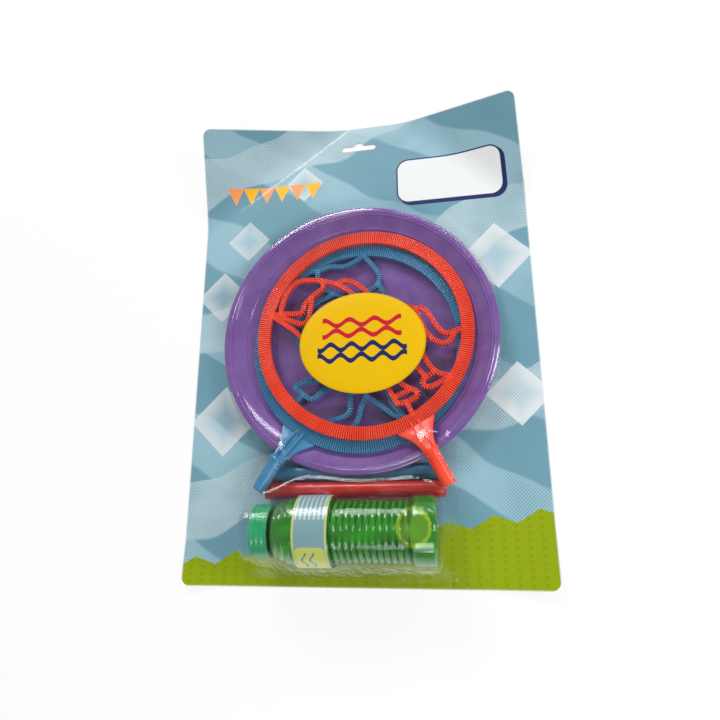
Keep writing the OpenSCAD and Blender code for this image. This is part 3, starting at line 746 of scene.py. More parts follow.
def show(name, mesh, materials):
    """A new object for a mesh, at the origin."""
    piece = bpy.data.objects.new(name, mesh)
    mesh.materials.clear()
    for material in materials:
        mesh.materials.append(material)
    bpy.context.scene.collection.objects.link(piece)
    return piece


def settle(piece, body, slot, *nodes):
    """Joins a piece to its body and hides the nodes it stands for; the slot is not used."""
    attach(piece, body)
    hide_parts(*nodes)


def add_piece(name, part, material, body, slot, node, crease=40):
    """A smooth piece from points and faces, or from a mesh, joined to its body, with the node it stands for
    hidden; the slot is not used.
    """
    mesh = part if isinstance(part, bpy.types.Mesh) else make_mesh(name, *part)
    settle(show(name, soften(mesh, crease), [material]), body, slot, node)


def baked(piece):
    """The piece with its modifiers turned into plain mesh."""
    bpy.context.view_layer.update()
    graph = bpy.context.evaluated_depsgraph_get()
    mesh = bpy.data.meshes.new_from_object(piece.evaluated_get(graph), depsgraph=graph)
    piece.modifiers.clear()
    old = piece.data
    piece.data = mesh
    bpy.data.meshes.remove(old)
    return piece


def map_flat(mesh, name, places):
    """A UV map from a place for each of a layer's points, which the layers share."""
    flat = [c for loop in mesh.loops for c in places[loop.vertex_index % len(places)]]
    mesh.uv_layers.new(name=name).uv.foreach_set("vector", flat)


def arc(radius, start, end, points, middle=(0.0, 0.0)):
    """Points along an arc between two angles."""
    return [(middle[0] + radius * math.cos(a), middle[1] + radius * math.sin(a))
            for a in np.linspace(start, end, points)]


def rounded(path, reach, steps):
    """An outline with its corners rounded over that reach."""
    out, room_share = [path[0]], 0.45
    for before, at, after in zip(path, path[1:], path[2:]):
        before, at, after = (Vector(p) for p in (before, at, after))
        cut = min(reach, (at - before).length * room_share, (after - at).length * room_share)
        start, end = at + (before - at).normalized() * cut, at + (after - at).normalized() * cut
        for k in range(steps + 1):
            t = k / steps
            out.append(tuple(start * (1 - t) ** 2 + at * 2 * t * (1 - t) + end * t ** 2))
    return out + [path[-1]]


def beaded(path, beads):
    """An outline with round beads raised on it, each given as its radius, its height and half its width."""
    p = np.array(path)
    run = np.concatenate([[0], np.cumsum(np.hypot(*np.diff(p, axis=0).T))])
    marks, centres, spread = run, [], np.linspace(-1, 1, num=13)
    for middle, _, half in beads:
        before = int(np.argmax(p[:, 0] > middle))
        centre = float(np.interp(middle, p[before - 1:before + 1, 0], run[before - 1:before + 1]))
        centres.append(centre)
        marks = np.concatenate([marks[np.abs(marks - centre) > half], centre + half * spread])
    marks = np.sort(marks)
    radius, height = np.interp(marks, run, p[:, 0]), np.interp(marks, run, p[:, 1])
    lean = np.arctan2(np.gradient(height, marks), np.gradient(radius, marks))
    swell = sum(rise * (0.5 + 0.5 * np.cos(np.pi * np.clip((marks - centre) / half, -1, 1)))
                for (_, rise, half), centre in zip(beads, centres))
    return list(zip(radius - swell * np.sin(lean), height + swell * np.cos(lean)))


def lathe(path, sides, loop=False):
    """Points and faces of an outline of (radius, height) turned about Z; a loop closes on itself."""
    points, rows, faces = [], [], []
    turns = [math.tau * k / sides for k in range(sides)]
    for radius, height in path:
        if radius < TINY:
            rows.append([len(points)] * sides)
            points.append((0.0, 0.0, height))
            continue
        rows.append(list(range(len(points), len(points) + sides)))
        points += [(radius * math.cos(a), radius * math.sin(a), height) for a in turns]
    for low, high in zip(rows, rows[1:] + rows[:1] if loop else rows[1:]):
        for k in range(sides):
            face = [low[k], low[(k + 1) % sides], high[(k + 1) % sides], high[k]]
            face = [v for i, v in enumerate(face) if v != face[i - 1]]
            if len(face) > 2:
                faces.append(face)
    return points, faces


def prism(outline, low, high):
    """Points and faces of a flat outline between two heights."""
    n = len(outline)
    points = [(x, y, z) for z in (low, high) for x, y in outline]
    faces = [list(range(n)), list(range(n, 2 * n))]
    return points, faces + [[k, (k + 1) % n, (k + 1) % n + n, k + n] for k in range(n)]


def moved(part, matrix):
    """A part's points carried by a matrix."""
    return [tuple(matrix @ Vector(p)) for p in part[0]], part[1]


def joined(*parts):
    """Several parts as one."""
    points, faces = [], []
    for part in parts:
        faces += [[v + len(points) for v in face] for face in part[1]]
        points += part[0]
    return points, faces


def grid_faces(rows, columns, closed=False):
    """Faces of a grid of points that runs row by row; closed joins each row's end to its start."""
    faces = []
    for first in range(0, (rows - 1) * columns, columns):
        for k in range(columns if closed else columns - 1):
            after = (k + 1) % columns
            faces.append([first + k, first + after, first + columns + after, first + columns + k])
    return faces


def sheet_faces(rows, columns):
    """Faces of a sheet with two layers of points, each a grid: the first side, the second and the rim."""
    side = grid_faces(rows, columns)
    layer, last = rows * columns, (rows - 1) * columns
    edge = list(range(columns)) + [r * columns + columns - 1 for r in range(1, rows)]
    edge += [last + k for k in range(columns - 2, -1, -1)] + [r * columns for r in range(rows - 2, 0, -1)]
    rim = [[a, b, b + layer, a + layer] for a, b in zip(edge, edge[1:] + edge[:1])]
    return side, [[v + layer for v in face] for face in side], rim


def folded(points, look):
    """Points of the flat card, bent about each fold."""
    p = np.array(points, float)
    for corner, legs, angle in (
            ((-1, 1), look.left_legs, look.left_fold), ((1, 1), look.right_legs, look.right_fold),
            ((-1, -1), look.low_left_legs, look.low_left_fold),
            ((1, -1), look.low_right_legs, look.low_right_fold)):
        across = CARD_SIZE[0] / 2 - corner[0] * p[:, 0]
        down = CARD_SIZE[1] / 2 - corner[1] * p[:, 1]
        span = math.hypot(*legs)
        past = np.maximum(0, (1 - across / legs[0] - down / legs[1]) * legs[0] * legs[1] / span)
        bend = look.fold_radius * angle
        curl = np.minimum(past, bend) / look.fold_radius
        rest = np.maximum(0, past - bend)
        out = look.fold_radius * np.sin(curl) + rest * math.cos(angle) - past
        p[:, 0] += corner[0] * legs[1] / span * out
        p[:, 1] += corner[1] * legs[0] / span * out
        p[:, 2] += look.fold_radius * (1 - np.cos(curl)) + rest * math.sin(angle)
    return p


def slot_outline(look):
    """The hang slot's outline: a bar with round ends and a notch over its middle."""
    middle, end = CARD_SIZE[1] / 2 - look.slot_drop, look.slot_height / 2
    bar = look.slot_width / 2 - end
    lean = math.asin(end / look.slot_notch)
    left_end = arc(end, QUARTER, 3 * QUARTER, points=13, middle=(-bar, middle))
    right_end = arc(end, -QUARTER, QUARTER, points=13, middle=(bar, middle))
    notch = arc(look.slot_notch, lean, math.pi - lean, points=15, middle=(0.0, middle))
    return left_end + right_end + notch


class BUBBLESET_OT_card(bpy.types.Operator):
    """Builds the printed card with its folds and hang slot."""

    bl_idname = "bubbleset.card"
    bl_label = "Backing card"

    def execute(self, context):
        look = context.scene.bubble_card
        half_w, half_h = CARD_SIZE[0] / 2, CARD_SIZE[1] / 2
        straight = half_h - look.corner
        corner = arc(look.corner, QUARTER, 0, points=10, middle=(half_w - look.corner, straight))
        round_end = [(y, x) for x, y in corner]
        middle = [(straight * (1 - 2 * k / look.rows), half_w) for k in range(1, look.rows)]
        rows = round_end + middle + [(-y, x) for y, x in reversed(round_end)]
        across = look.columns + 1
        flat = [(x * (2 * k / look.columns - 1), y) for y, x in rows for k in range(across)]
        points = folded([(x, y, z) for z in (0, look.board) for x, y in flat], look)
        back, front, rim = sheet_faces(len(rows), across)
        mesh = make_mesh("backing_card_print", points, back + front + rim)
        mesh.polygons.foreach_set("material_index", [1] * len(back) + [0] * len(front) + [1] * len(rim))
        map_flat(mesh, "flat", [(x / CARD_SIZE[0] + 0.5, y / CARD_SIZE[1] + 0.5) for x, y in flat])
        brown = board("card_board", look.kraft)
        card = show("backing_card_print", soften(mesh, crease=35), [printed("card_print", look), brown])
        through = prism(slot_outline(look), -look.slot_height, look.slot_height)
        cutter = show("slot_cutter", make_mesh("slot_cutter", *through), [brown])
        cut = card.modifiers.new("slot", "BOOLEAN")
        cut.object = cutter
        cut.operation = "DIFFERENCE"
        cut.solver = "EXACT"
        cut.material_mode = "TRANSFER"
        baked(card)
        bpy.data.objects.remove(cutter)
        settle(card, "card", "card_print", "backing_card")
        return {"FINISHED"}


class BUBBLESET_OT_tray(bpy.types.Operator):
    """Builds the round dip tray with its slopes and rolled rim."""

    bl_idname = "bubbleset.tray"
    bl_label = "Dip tray"

    def execute(self, context):
        look = context.scene.bubble_tray
        wall, floor, step = look.wall, look.floor_radius, (look.step_radius, look.step_height)
        crest, crest_height = TRAY_RADIUS - look.rim / 2, TRAY_HIGH.z - TRAY_LOW.z - look.rim / 4

        def rim(inset):
            """The rolled rim, drawn in by inset, half as high as it is wide."""
            roll = arc(look.rim / 2 - inset, look.roll, 0, points=19)
            return [(crest + x, crest_height + y / 2) for x, y in roll]

        top = rounded([(0.0, wall), (floor, wall), step, rim(0)[0]], look.blend, steps=6)
        below_step, below_floor = (step[0] + wall / 2, step[1] - wall), (floor + wall / 2, 0.0)
        under = rounded([rim(wall)[0], below_step, below_floor, (0.0, 0.0)], look.blend, steps=6)
        inner_edge = TRAY_RADIUS - look.rim + look.bead_inset
        beads = [(radius, look.bead, look.bead_width)
                 for radius in (look.step_radius, inner_edge, crest - 2 * look.bead_inset)]
        outline = beaded(top[:-1] + rim(0), beads) + rim(wall)[::-1] + under[1:]
        place = Matrix.Translation((TRAY_MIDDLE.x, TRAY_MIDDLE.y, TRAY_LOW.z))
        plastic = moulded("purple_plastic", look.plastic, shade=0.1, roughness=0.14, coat=1.0, grain=0.008)
        add_piece("dip_tray", moved(lathe(outline, look.sides), place), plastic,
                  "tray_body", "purple_plastic", "bubble_tray")
        return {"FINISHED"}


# Strokes of the two figures, as shares of the hoop's inner radius
ORANGE_FIGURE = (
    ((-0.68, 0.64), (-0.55, 0.79), (-0.39, 0.87), (-0.27, 0.84), (-0.13, 0.75)),
    ((-0.13, 0.75), (-0.14, 0.66), (-0.30, 0.63), (-0.42, 0.58), (-0.48, 0.52), (-0.68, 0.64)),
    ((-0.13, 0.75), (0, 0.61), (0.07, 0.49), (0.14, 0.34), (0.28, 0.2), (0.45, 0.06), (0.58, -0.07)),
    ((0, 0.61), (0.07, 0.62), (0.15, 0.56), (0.21, 0.44), (0.28, 0.2)),
    ((-0.78, 0.68), (-0.62, 0.35), (-0.57, 0.12), (-0.46, -0.06), (-0.34, -0.03), (-0.24, 0.1)),
    ((-0.76, 0.70), (-0.53, 0.41), (-0.40, 0.47), (-0.30, 0.63)),
    ((-0.24, 0.1), (-0.2, -0.2), (-0.08, -0.45), (-0.06, -0.85)),
    ((-0.06, -0.85), (0.03, -0.88), (0.14, -0.88)),
    ((0.58, -0.07), (0.65, -0.11), (0.67, -0.22), (0.67, -0.34), (0.70, -0.45), (0.77, -0.48), (0.9, -0.5)),
    ((0.78, -0.5), (0.73, -0.54), (0.66, -0.55), (0.59, -0.48), (0.55, -0.35), (0.58, -0.07)),
    ((0.14, -0.88), (0.17, -0.84), (0.07, -0.68), (0.1, -0.45), (0.22, -0.42), (0.29, -0.63), (0.31, -0.75)),
    ((-0.05, -0.78), (0.12, -0.79)),
    ((0.03, -0.87), (0.02, -1.03)),
    ((0.55, -0.35), (0.42, -0.5), (0.42, -0.74), (0.53, -0.86)),
    ((0.31, -0.75), (0.26, -0.79), (0.29, -0.86), (0.45, -0.87), (0.53, -0.86)),
    ((0.31, -0.76), (0.42, -0.75)),
)
BLUE_FIGURE = (
    ((-0.92, 0.42), (-0.86, 0.46), (-0.78, 0.57), (-0.62, 0.66), (-0.52, 0.86)),
    ((-0.52, 0.86), (-0.37, 0.81), (-0.24, 0.75), (-0.2, 0.66), (-0.23, 0.57), (-0.35, 0.42), (-0.56, 0.32)),
    ((-0.86, 0.46), (-0.76, 0.33), (-0.56, 0.32), (-0.65, 0.16), (-0.66, 0.05), (-0.7, -0.12)),
    ((-0.2, 0.66), (-0.1, 0.61), (0.1, 0.46), (0.3, 0.2), (0.42, -0.06), (0.51, -0.26)),
    ((-0.7, -0.12), (-0.6, -0.3), (-0.4, -0.36), (-0.28, -0.46), (-0.16, -0.57)),
    ((-0.16, -0.57), (-0.26, -0.63), (-0.32, -0.74)),
    ((-0.32, -0.74), (-0.2, -0.75), (-0.09, -0.75), (-0.05, -0.64), (0.04, -0.5), (0.21, -0.49)),
    ((-0.2, -0.75), (-0.25, -1.0)),
    ((0.21, -0.49), (0.31, -0.63), (0.30, -0.71), (0.24, -0.79), (0.19, -0.85), (0.15, -1.01)),
    ((0.21, -0.49), (0.3, -0.38), (0.37, -0.43), (0.39, -0.55), (0.43, -0.65), (0.44, -0.74), (0.45, -0.92)),
    ((0.37, -0.43), (0.52, -0.43), (0.67, -0.44), (0.75, -0.44), (0.81, -0.4)),
    ((0.51, -0.26), (0.6, -0.33), (0.68, -0.37), (0.81, -0.4), (0.93, -0.43)),
)


def smoothed(path, rounds):
    """A path with more points on a smooth curve: each round adds one to every stretch."""
    p = [np.array(q, float) for q in path]
    for _ in range(rounds):
        last = len(p) - 1
        between = [(9 * (p[k] + p[k + 1]) - p[max(k - 1, 0)] - p[min(k + 2, last)]) / 16 for k in range(last)]
        p = [q for pair in zip(p, between) for q in pair] + [p[last]]
    return p


def ribbed_strip_tree():
    """Geometry nodes that turn paths into flat strips with ribs across them."""
    core_share, round_share, round_steps = 0.96, 0.3, 2
    tree = bpy.data.node_groups.new("ribbed_strip", "GeometryNodeTree")
    sizes = ("Width", "Thickness", "Rib pitch", "Rib breadth", "Rib depth")
    for name, kind in (("Path", "Geometry"), *((size, "Float") for size in sizes), ("Material", "Material")):
        tree.interface.new_socket(name, in_out="INPUT", socket_type=f"NodeSocket{kind}")
    tree.interface.new_socket("Strip", in_out="OUTPUT", socket_type="NodeSocketGeometry")
    given = add_node(tree, "NodeGroupInput").outputs
    width, thickness, pitch, breadth, depth = (Value(tree, given[name]) for name in sizes)

    def shaped(kind, settings, **sockets):
        """The first output of one geometry node."""
        named = {name.replace("_", " "): value for name, value in sockets.items()}
        return add_node(tree, f"GeometryNode{kind}", settings, named).outputs[0]

    def section(wide, high):
        """A rectangle across a curve."""
        return shaped("CurvePrimitiveQuadrilateral", {"mode": "RECTANGLE"}, Width=wide, Height=high)

    def swept(curve, profile):
        """A closed bar with that profile along a curve."""
        return shaped("CurveToMesh", None, Curve=curve, Profile_Curve=profile, Fill_Caps=True)

    def along_z(reach):
        """A place on Z, at that share of the width."""
        return add_node(tree, "ShaderNodeCombineXYZ", None, {2: width * reach}).outputs[0]

    curve = shaped("SetCurveNormal", {"mode": "Z_UP"}, Curve=shaped("MeshToCurve", None, Mesh=given["Path"]))
    # The core between the ribs is marked with the groove attribute, where the material paints shade
    core = shaped("StoreNamedAttribute", {"data_type": "FLOAT", "domain": "POINT"},
                  Geometry=swept(curve, section(width * core_share, thickness - depth * 2)),
                  Name="groove", Value=1.0)
    bar = shaped("FilletCurve", {"mode": "POLY"}, Curve=section(breadth, thickness), Count=round_steps,
                 Radius=breadth * round_share)
    bar = swept(shaped("CurvePrimitiveLine", None, Start=along_z(-0.5), End=along_z(0.5)), bar)
    marks = add_node(tree, "GeometryNodeCurveToPoints", {"mode": "LENGTH"},
                     {"Curve": curve, "Length": pitch}).outputs
    facing = add_node(tree, "FunctionNodeAxesToRotation", {"primary_axis": "Z", "secondary_axis": "X"},
                      {0: marks["Normal"], 1: marks["Tangent"]}).outputs[0]
    ribs = shaped("InstanceOnPoints", None, Points=marks["Points"], Instance=bar, Rotation=facing)
    join = add_node(tree, "GeometryNodeJoinGeometry")
    for strip in (ribs, core):
        tree.links.new(strip, join.inputs[0])
    plain = shaped("RealizeInstances", None, Geometry=join.outputs[0])
    add_node(tree, "NodeGroupOutput", None,
             {0: shaped("SetMaterial", None, Geometry=plain, Material=given["Material"])})
    return tree


def ribbed(name, paths, closed, tree, material, sizes):
    """Ribbed strips along flat paths, as one plain mesh."""
    points, edges = [], []
    for path in paths:
        first = len(points)
        points += [(x, y, 0.0) for x, y in path]
        edges += [(k, k + 1) for k in range(first, len(points) - 1)]
        edges += [(len(points) - 1, first)] if closed else []
    mesh = bpy.data.meshes.new(name)
    mesh.from_pydata(points, edges, [])
    piece = show(name, mesh, [])
    modifier = piece.modifiers.new("ribs", "NODES")
    modifier.node_group = tree
    sockets = {item.name: item.identifier for item in tree.interface.items_tree}
    for key, value in {**sizes, "Material": material}.items():
        modifier[sockets[key]] = value
    return baked(piece)


def gusset_part(look):
    """The gusset with its two rails, cranked up from the hoop, and the collar and cored stem."""
    plate, root, rail = look.gusset_plate / 2, look.root, look.rail / 2
    run = np.linspace(-root, look.gusset - look.collar_depth / 2, num=17)
    half = [look.stem + (look.gusset_width / 2 - look.stem) * (1 - max(0, s) / look.gusset) ** 2 for s in run]
    outline = [(h, -s) for h, s in zip(half, run)] + [(-h, -s) for h, s in zip(half[::-1], run[::-1])]
    parts = [prism(outline, -plate, plate)]
    for middle in (-look.rail_place, look.rail_place):
        left, right = middle - rail, middle + rail
        bar = [(left, root), (right, root), (right, -look.gusset), (left, -look.gusset)]
        parts.append(prism(bar, 0.0, plate + look.rail_height))
    pivot = look.thickness * look.pivot
    crank = Matrix.Translation((0, -look.hoop, pivot)) @ Matrix.Rotation(-look.crank, 4, "X")

    foot, end, bore = -look.collar_depth, look.stem_reach, look.stem - look.stem_wall
    skin = rounded(
        [(look.collar - look.chamfer, foot), (look.collar, foot + look.chamfer), (look.collar, 0.0),
         (look.stem, 0.0), (look.stem, end - look.chamfer), (look.stem - look.edge, end)], look.edge, steps=3)
    outline = [(0.0, foot)] + skin + [(bore, end), (bore, 0.0), (0.0, 0.0)]
    collar_y = -(look.hoop + look.gusset * math.cos(look.crank))
    collar_z = pivot + look.gusset * math.sin(look.crank)
    place = Matrix.Translation((0, collar_y, collar_z)) @ Matrix.Rotation(QUARTER + look.stem_slope, 4, "X")
    return joined(moved(joined(*parts), crank), moved(lathe(outline, look.sides), place))


class BUBBLESET_OT_wands(bpy.types.Operator):
    """Builds both wand heads: ribbed hoop and figure, gusset, collar and stem."""

    bl_idname = "bubbleset.wands"
    bl_label = "Wand heads"

    def execute(self, context):
        look = context.scene.bubble_wands
        tree = ribbed_strip_tree()
        sizes = {"Thickness": look.thickness, "Rib pitch": look.pitch, "Rib breadth": look.rib,
                 "Rib depth": look.depth}
        inner = look.hoop - look.band
        ring = arc(look.hoop - look.band / 2, 0, math.tau, look.hoop_points + 1)[:-1]
        lift = Matrix.Translation((0, 0, look.thickness / 2))
        for key, figure, place, angle, tint in (
                ("orange", ORANGE_FIGURE, look.orange_place, look.orange_turn, look.orange),
                ("blue", BLUE_FIGURE, look.blue_place, look.blue_turn, look.blue)):
            plastic = moulded(f"{key}_plastic", tint, shade=0.1, roughness=0.36, coat=0.15,
                              groove=look.painted_groove_shade)
            hoop = ribbed(f"{key}_wand_hoop", [ring], True, tree, plastic, {**sizes, "Width": look.band})
            strokes = [[tuple(p * inner) for p in smoothed(path, look.rounds)] for path in figure]
            shape = ribbed(f"{key}_wand_figure", strokes, False, tree, plastic,
                           {**sizes, "Width": look.stroke})
            stem = show(f"{key}_wand_stem", make_mesh(f"{key}_wand_stem", *gusset_part(look)), [plastic])
            soft = stem.modifiers.new("edges", "BEVEL")
            soft.width = look.bevel
            soft.segments = 2
            soft.limit_method = "ANGLE"
            soft.angle_limit = math.radians(50)
            baked(stem)
            seat = (Matrix.Translation(place) @ Matrix.Rotation(-look.tilt, 4, "X")
                    @ Matrix.Rotation(angle, 4, "Z"))
            for piece in (hoop, shape, stem):
                piece.data.transform(seat if piece is stem else seat @ lift)
                soften(piece.data, crease=40)
                settle(piece, f"{key}_wand", f"{key}_plastic", f"{key}_wand_head")
        return {"FINISHED"}


class BUBBLESET_OT_tubes(bpy.types.Operator):
    """Builds the two handle tubes."""

    bl_idname = "bubbleset.tubes"
    bl_label = "Handle tubes"

    def execute(self, context):
        look = context.scene.bubble_tubes
        cut, crown, bore, mouth = look.chamfer, look.crown, look.bore, look.mouth
        for key, tint in (("orange", look.red), ("blue", look.blue)):
            low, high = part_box(f"{key}_handle")
            radius, reach = (high.z - low.z) / 2, high.x - low.x
            near_end = [(radius, cut), (radius - crown, crown), (radius - cut, 0.0),
                        (bore + mouth, 0.0), (bore, mouth)]
            far_end = [(r, reach - z) for r, z in reversed(near_end)]
            skin = [(radius, reach * k / look.rings) for k in range(look.rings - 1, 0, -1)]
            place = (Matrix.Translation((low.x, (low.y + high.y) / 2, (low.z + high.z) / 2))
                     @ Matrix.Rotation(QUARTER, 4, "Y"))
            tube = moved(lathe(near_end + far_end + skin, look.sides, loop=True), place)
            add_piece(f"{key}_tube", tube, moulded(f"{key}_tube_plastic", tint),
                      f"{key}_tube", f"{key}_plastic", f"{key}_handle", crease=50)
        return {"FINISHED"}


def ribs_end(look):
    """Height on the bottle at which the ribs end and the panel begins."""
    return look.base + look.ribs * look.pitch


def shoulder_end(look):
    """Height on the bottle at which the neck begins."""
    return ribs_end(look) + look.panel + look.shoulder


def bottle_outline(look, inset):
    """Outline of the bottle from the middle of its base to the foot of its neck, drawn in by inset."""
    body, ribs_top, panel_top = BOTTLE_RADIUS, ribs_end(look), ribs_end(look) + look.panel
    rib_fullness, drop_shares, flat_share = 0.8, (0.12, 0.34, 0.62, 1), 0.45
    path = [(0.0, inset)]
    path += arc(look.heel - inset, -QUARTER, 0, points=9, middle=(body - look.heel, look.heel))
    path += rounded([path[-1], (body - inset, look.base - body + look.rib_radius - inset / 2),
                     (look.rib_radius - look.groove - inset, look.base)], look.base_blend, steps=4)[1:]
    for k in range(1, look.ribs * look.rib_steps + 1):
        swell = abs(math.sin(math.pi * k / look.rib_steps)) ** rib_fullness
        height = look.base + look.pitch * k / look.rib_steps
        path.append((look.rib_radius - inset - look.groove * (1 - swell), height))
    panel, panel_foot = body - look.recess - inset, ribs_top + look.panel_margin
    path += rounded([path[-1], (panel, panel_foot + inset / 2), (panel, panel_top - inset / 2)],
                    look.panel_blend, steps=3)[1:]
    corners, before, step = [path[-1]], body, look.shoulder / len(drop_shares)
    for k, drop in enumerate(drop_shares):
        after = body - (body - look.neck) * drop
        corners += [(before - inset, panel_top + step * (k + flat_share) - inset / 2),
                    (after - inset, panel_top + step * (k + 1) - inset / 2)]
        before = after
    return path + rounded(corners, look.shoulder_blend, steps=4)[1:]


def add_shell(look):
    """The clear bottle with its open neck."""
    end, edge, inner = BOTTLE_HIGH.x - BOTTLE_LOW.x, look.neck_edge, look.neck - look.neck_wall
    outside = bottle_outline(look, 0) + [(look.neck, end - edge), (look.neck - edge, end)]
    inside = bottle_outline(look, look.wall) + [(inner, shoulder_end(look)), (inner, end)]
    shell = moved(lathe(outside + inside[::-1], look.sides), BOTTLE_PLACE)
    add_piece("bottle_shell", shell, clear_bottle("clear_bottle", look.tint),
              "bottle_body", "clear_bottle", "bottle", crease=50)


def add_solution(look):
    """The solution, cut off flat at its level."""
    body = bottle_outline(look, look.wall + look.gap) + [(0.0, shoulder_end(look) - look.wall)]
    mesh = make_mesh("solution_fill", *lathe(body, look.sides))
    work = bmesh.new()
    work.from_mesh(mesh)
    cut = bmesh.ops.bisect_plane(work, geom=work.verts[:] + work.edges[:] + work.faces[:], dist=TINY,
                                 plane_co=(look.level, 0, 0), plane_no=(1, 0, 0), clear_outer=True)
    bmesh.ops.holes_fill(work, edges=[e for e in cut["geom_cut"] if isinstance(e, bmesh.types.BMEdge)])
    bmesh.ops.recalc_face_normals(work, faces=work.faces)
    work.to_mesh(mesh)
    work.free()
    mesh.transform(BOTTLE_PLACE)
    add_piece("solution_fill", mesh, liquid("green_solution", look),
              "bottle_body", "green_solution", "bubble_solution", crease=50)


def add_cap(look):
    """The screw cap: a skirt with shallow waves, a round edge and a raised ring on its end."""
    low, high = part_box("bottle_cap")
    radius, reach, edge, foot = (high.z - low.z) / 2, high.x - low.x, look.cap_edge, look.cap_foot
    wave_steps = 8
    skirt, end, steps = look.neck + look.gap, reach - look.cap_wall, wave_steps * look.grip_waves
    grip = [(radius - look.grip * (1 - math.cos(math.tau * look.grip_waves * k / steps)) / 2,
             foot + (reach - edge - 2 * foot) * k / steps) for k in range(steps + 1)]
    ring, floor = radius - edge - look.cap_ring, reach - look.cap_ring_height
    outline = [(0.0, end), (skirt, end), (skirt, 0.0), (radius - foot, 0.0)] + grip
    outline += arc(edge, 0, QUARTER, points=8, middle=(radius - edge, reach - edge))
    outline += [(ring, reach), (ring - look.cap_ring_height, floor), (0.0, floor)]
    place = BOTTLE_PLACE @ Matrix.Translation((0, 0, BOTTLE_HIGH.x - high.x))
    plastic = moulded("green_cap", look.cap, shade=0.15, roughness=0.3, coat=0.35)
    add_piece("screw_cap", moved(lathe(outline, look.sides), place), plastic,
              "cap_body", "green_cap", "bottle_cap")


def add_label(look):
    """The label, wrapped round the panel and open at the back."""
    low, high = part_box("bottle_label")
    start, reach = BOTTLE_HIGH.x - high.x, high.x - low.x
    radius, steps = BOTTLE_RADIUS - look.recess + look.label_gap, look.label_steps
    points = [(x, y, start + reach * v) for lift in (look.label_gauge, 0)
              for x, y in arc(radius + lift, -look.label_half, look.label_half, steps + 1) for v in (0, 1)]
    mesh = make_mesh("label_wrap", points, sum(sheet_faces(steps + 1, 2), []))
    map_flat(mesh, "wrap", [(k / steps, v) for k in range(steps + 1) for v in (0, 1)])
    mesh.transform(BOTTLE_PLACE)
    paper = label_paper("label_paper", look, (radius * 2 * look.label_half, reach))
    add_piece("label_wrap", mesh, paper, "bottle_body", "label_paper", "bottle_label")


class BUBBLESET_OT_bottle(bpy.types.Operator):
    """Builds the bottle with its solution, cap and label, and finishes the liner."""

    bl_idname = "bubbleset.bottle"
    bl_label = "Bottle of solution"

    def execute(self, context):
        look = context.scene.bubble_bottle
        for add in (add_shell, add_solution, add_cap, add_label):
            add(look)
        liner = frame["nodes"]["cap_liner"]
        liner.data.materials.clear()
        liner.data.materials.append(liner_foam("liner_foam", look.liner))
        return {"FINISHED"}


# Pieces that the film lies on
CONTENTS = (
    "dip_tray", "orange_wand_hoop", "orange_wand_figure", "orange_wand_stem", "blue_wand_hoop",
    "blue_wand_figure", "blue_wand_stem", "orange_tube", "blue_tube", "bottle_shell", "screw_cap",
    "label_wrap",
)


def surface_tree(places):
    """A search tree of the surfaces of pieces, each piece given with a shift."""
    points, faces = [], []
    for piece, shift in places:
        first = len(points)
        points += [v.co + shift for v in piece.data.vertices]
        faces += [[v + first for v in face.vertices] for face in piece.data.polygons]
    return BVHTree.FromPolygons(points, faces)


def film_contact(look, x, y, room, card_top):
    """Heights at which the film would touch what it covers, also when the cap is unscrewed."""
    unscrew = next(joint for joint in frame["record"]["behaviour"]["joints"] if joint["name"] == "cap_rise")
    places = [(bpy.data.objects[name], Vector()) for name in CONTENTS]
    places.append((bpy.data.objects["screw_cap"], Vector(unscrew["axis"]) * unscrew["range_m"][1]))
    tree = surface_tree(places)
    contact, above = np.full(x.shape, card_top), 2 * CAD_BOX[1][2]
    for i, j in np.argwhere(room > look.seal):
        hit = tree.ray_cast(Vector((x[i, j], y[i, j], above)), Vector((0, 0, -1)))[0]
        if hit is not None:
            contact[i, j] = hit.z + look.lift
    return contact


def skirted(field, held, flat, fall):
    """Heights spread flat over some cells, then sloped down by a fall for each cell; held cells stay low."""
    low = field.min()
    steps = [(i, j) for i in range(-2, 3) for j in range(-2, 3) if math.gcd(i, j) == 1]
    for k in range((flat + int(np.ptp(field) / fall)) // 2 + 1):
        drop = fall if 2 * k >= flat else 0
        spread = [np.roll(field, step, (0, 1)) - drop * math.hypot(*step) for step in steps]
        field = np.where(held, low, np.maximum(field, np.max(spread, axis=0)))
    return field


def film_reach(look):
    """A function that tells how far inside the film's edge a place lies: round the tray and the bottle."""
    low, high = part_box("skin_film")
    left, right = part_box("bottle_cap")[0].x - look.cap_room, BOTTLE_HIGH.x + look.base_room
    radius = (high.x - low.x) / 2
    centre_y = high.y - radius

    def inside(x, y):
        """Distance from the edge, below 0 outside."""
        ring = radius - np.hypot(x, y - centre_y)
        block = np.minimum(np.minimum(x - left, right - x), np.minimum(y - low.y, centre_y - y))
        return np.maximum(ring, block)

    return inside


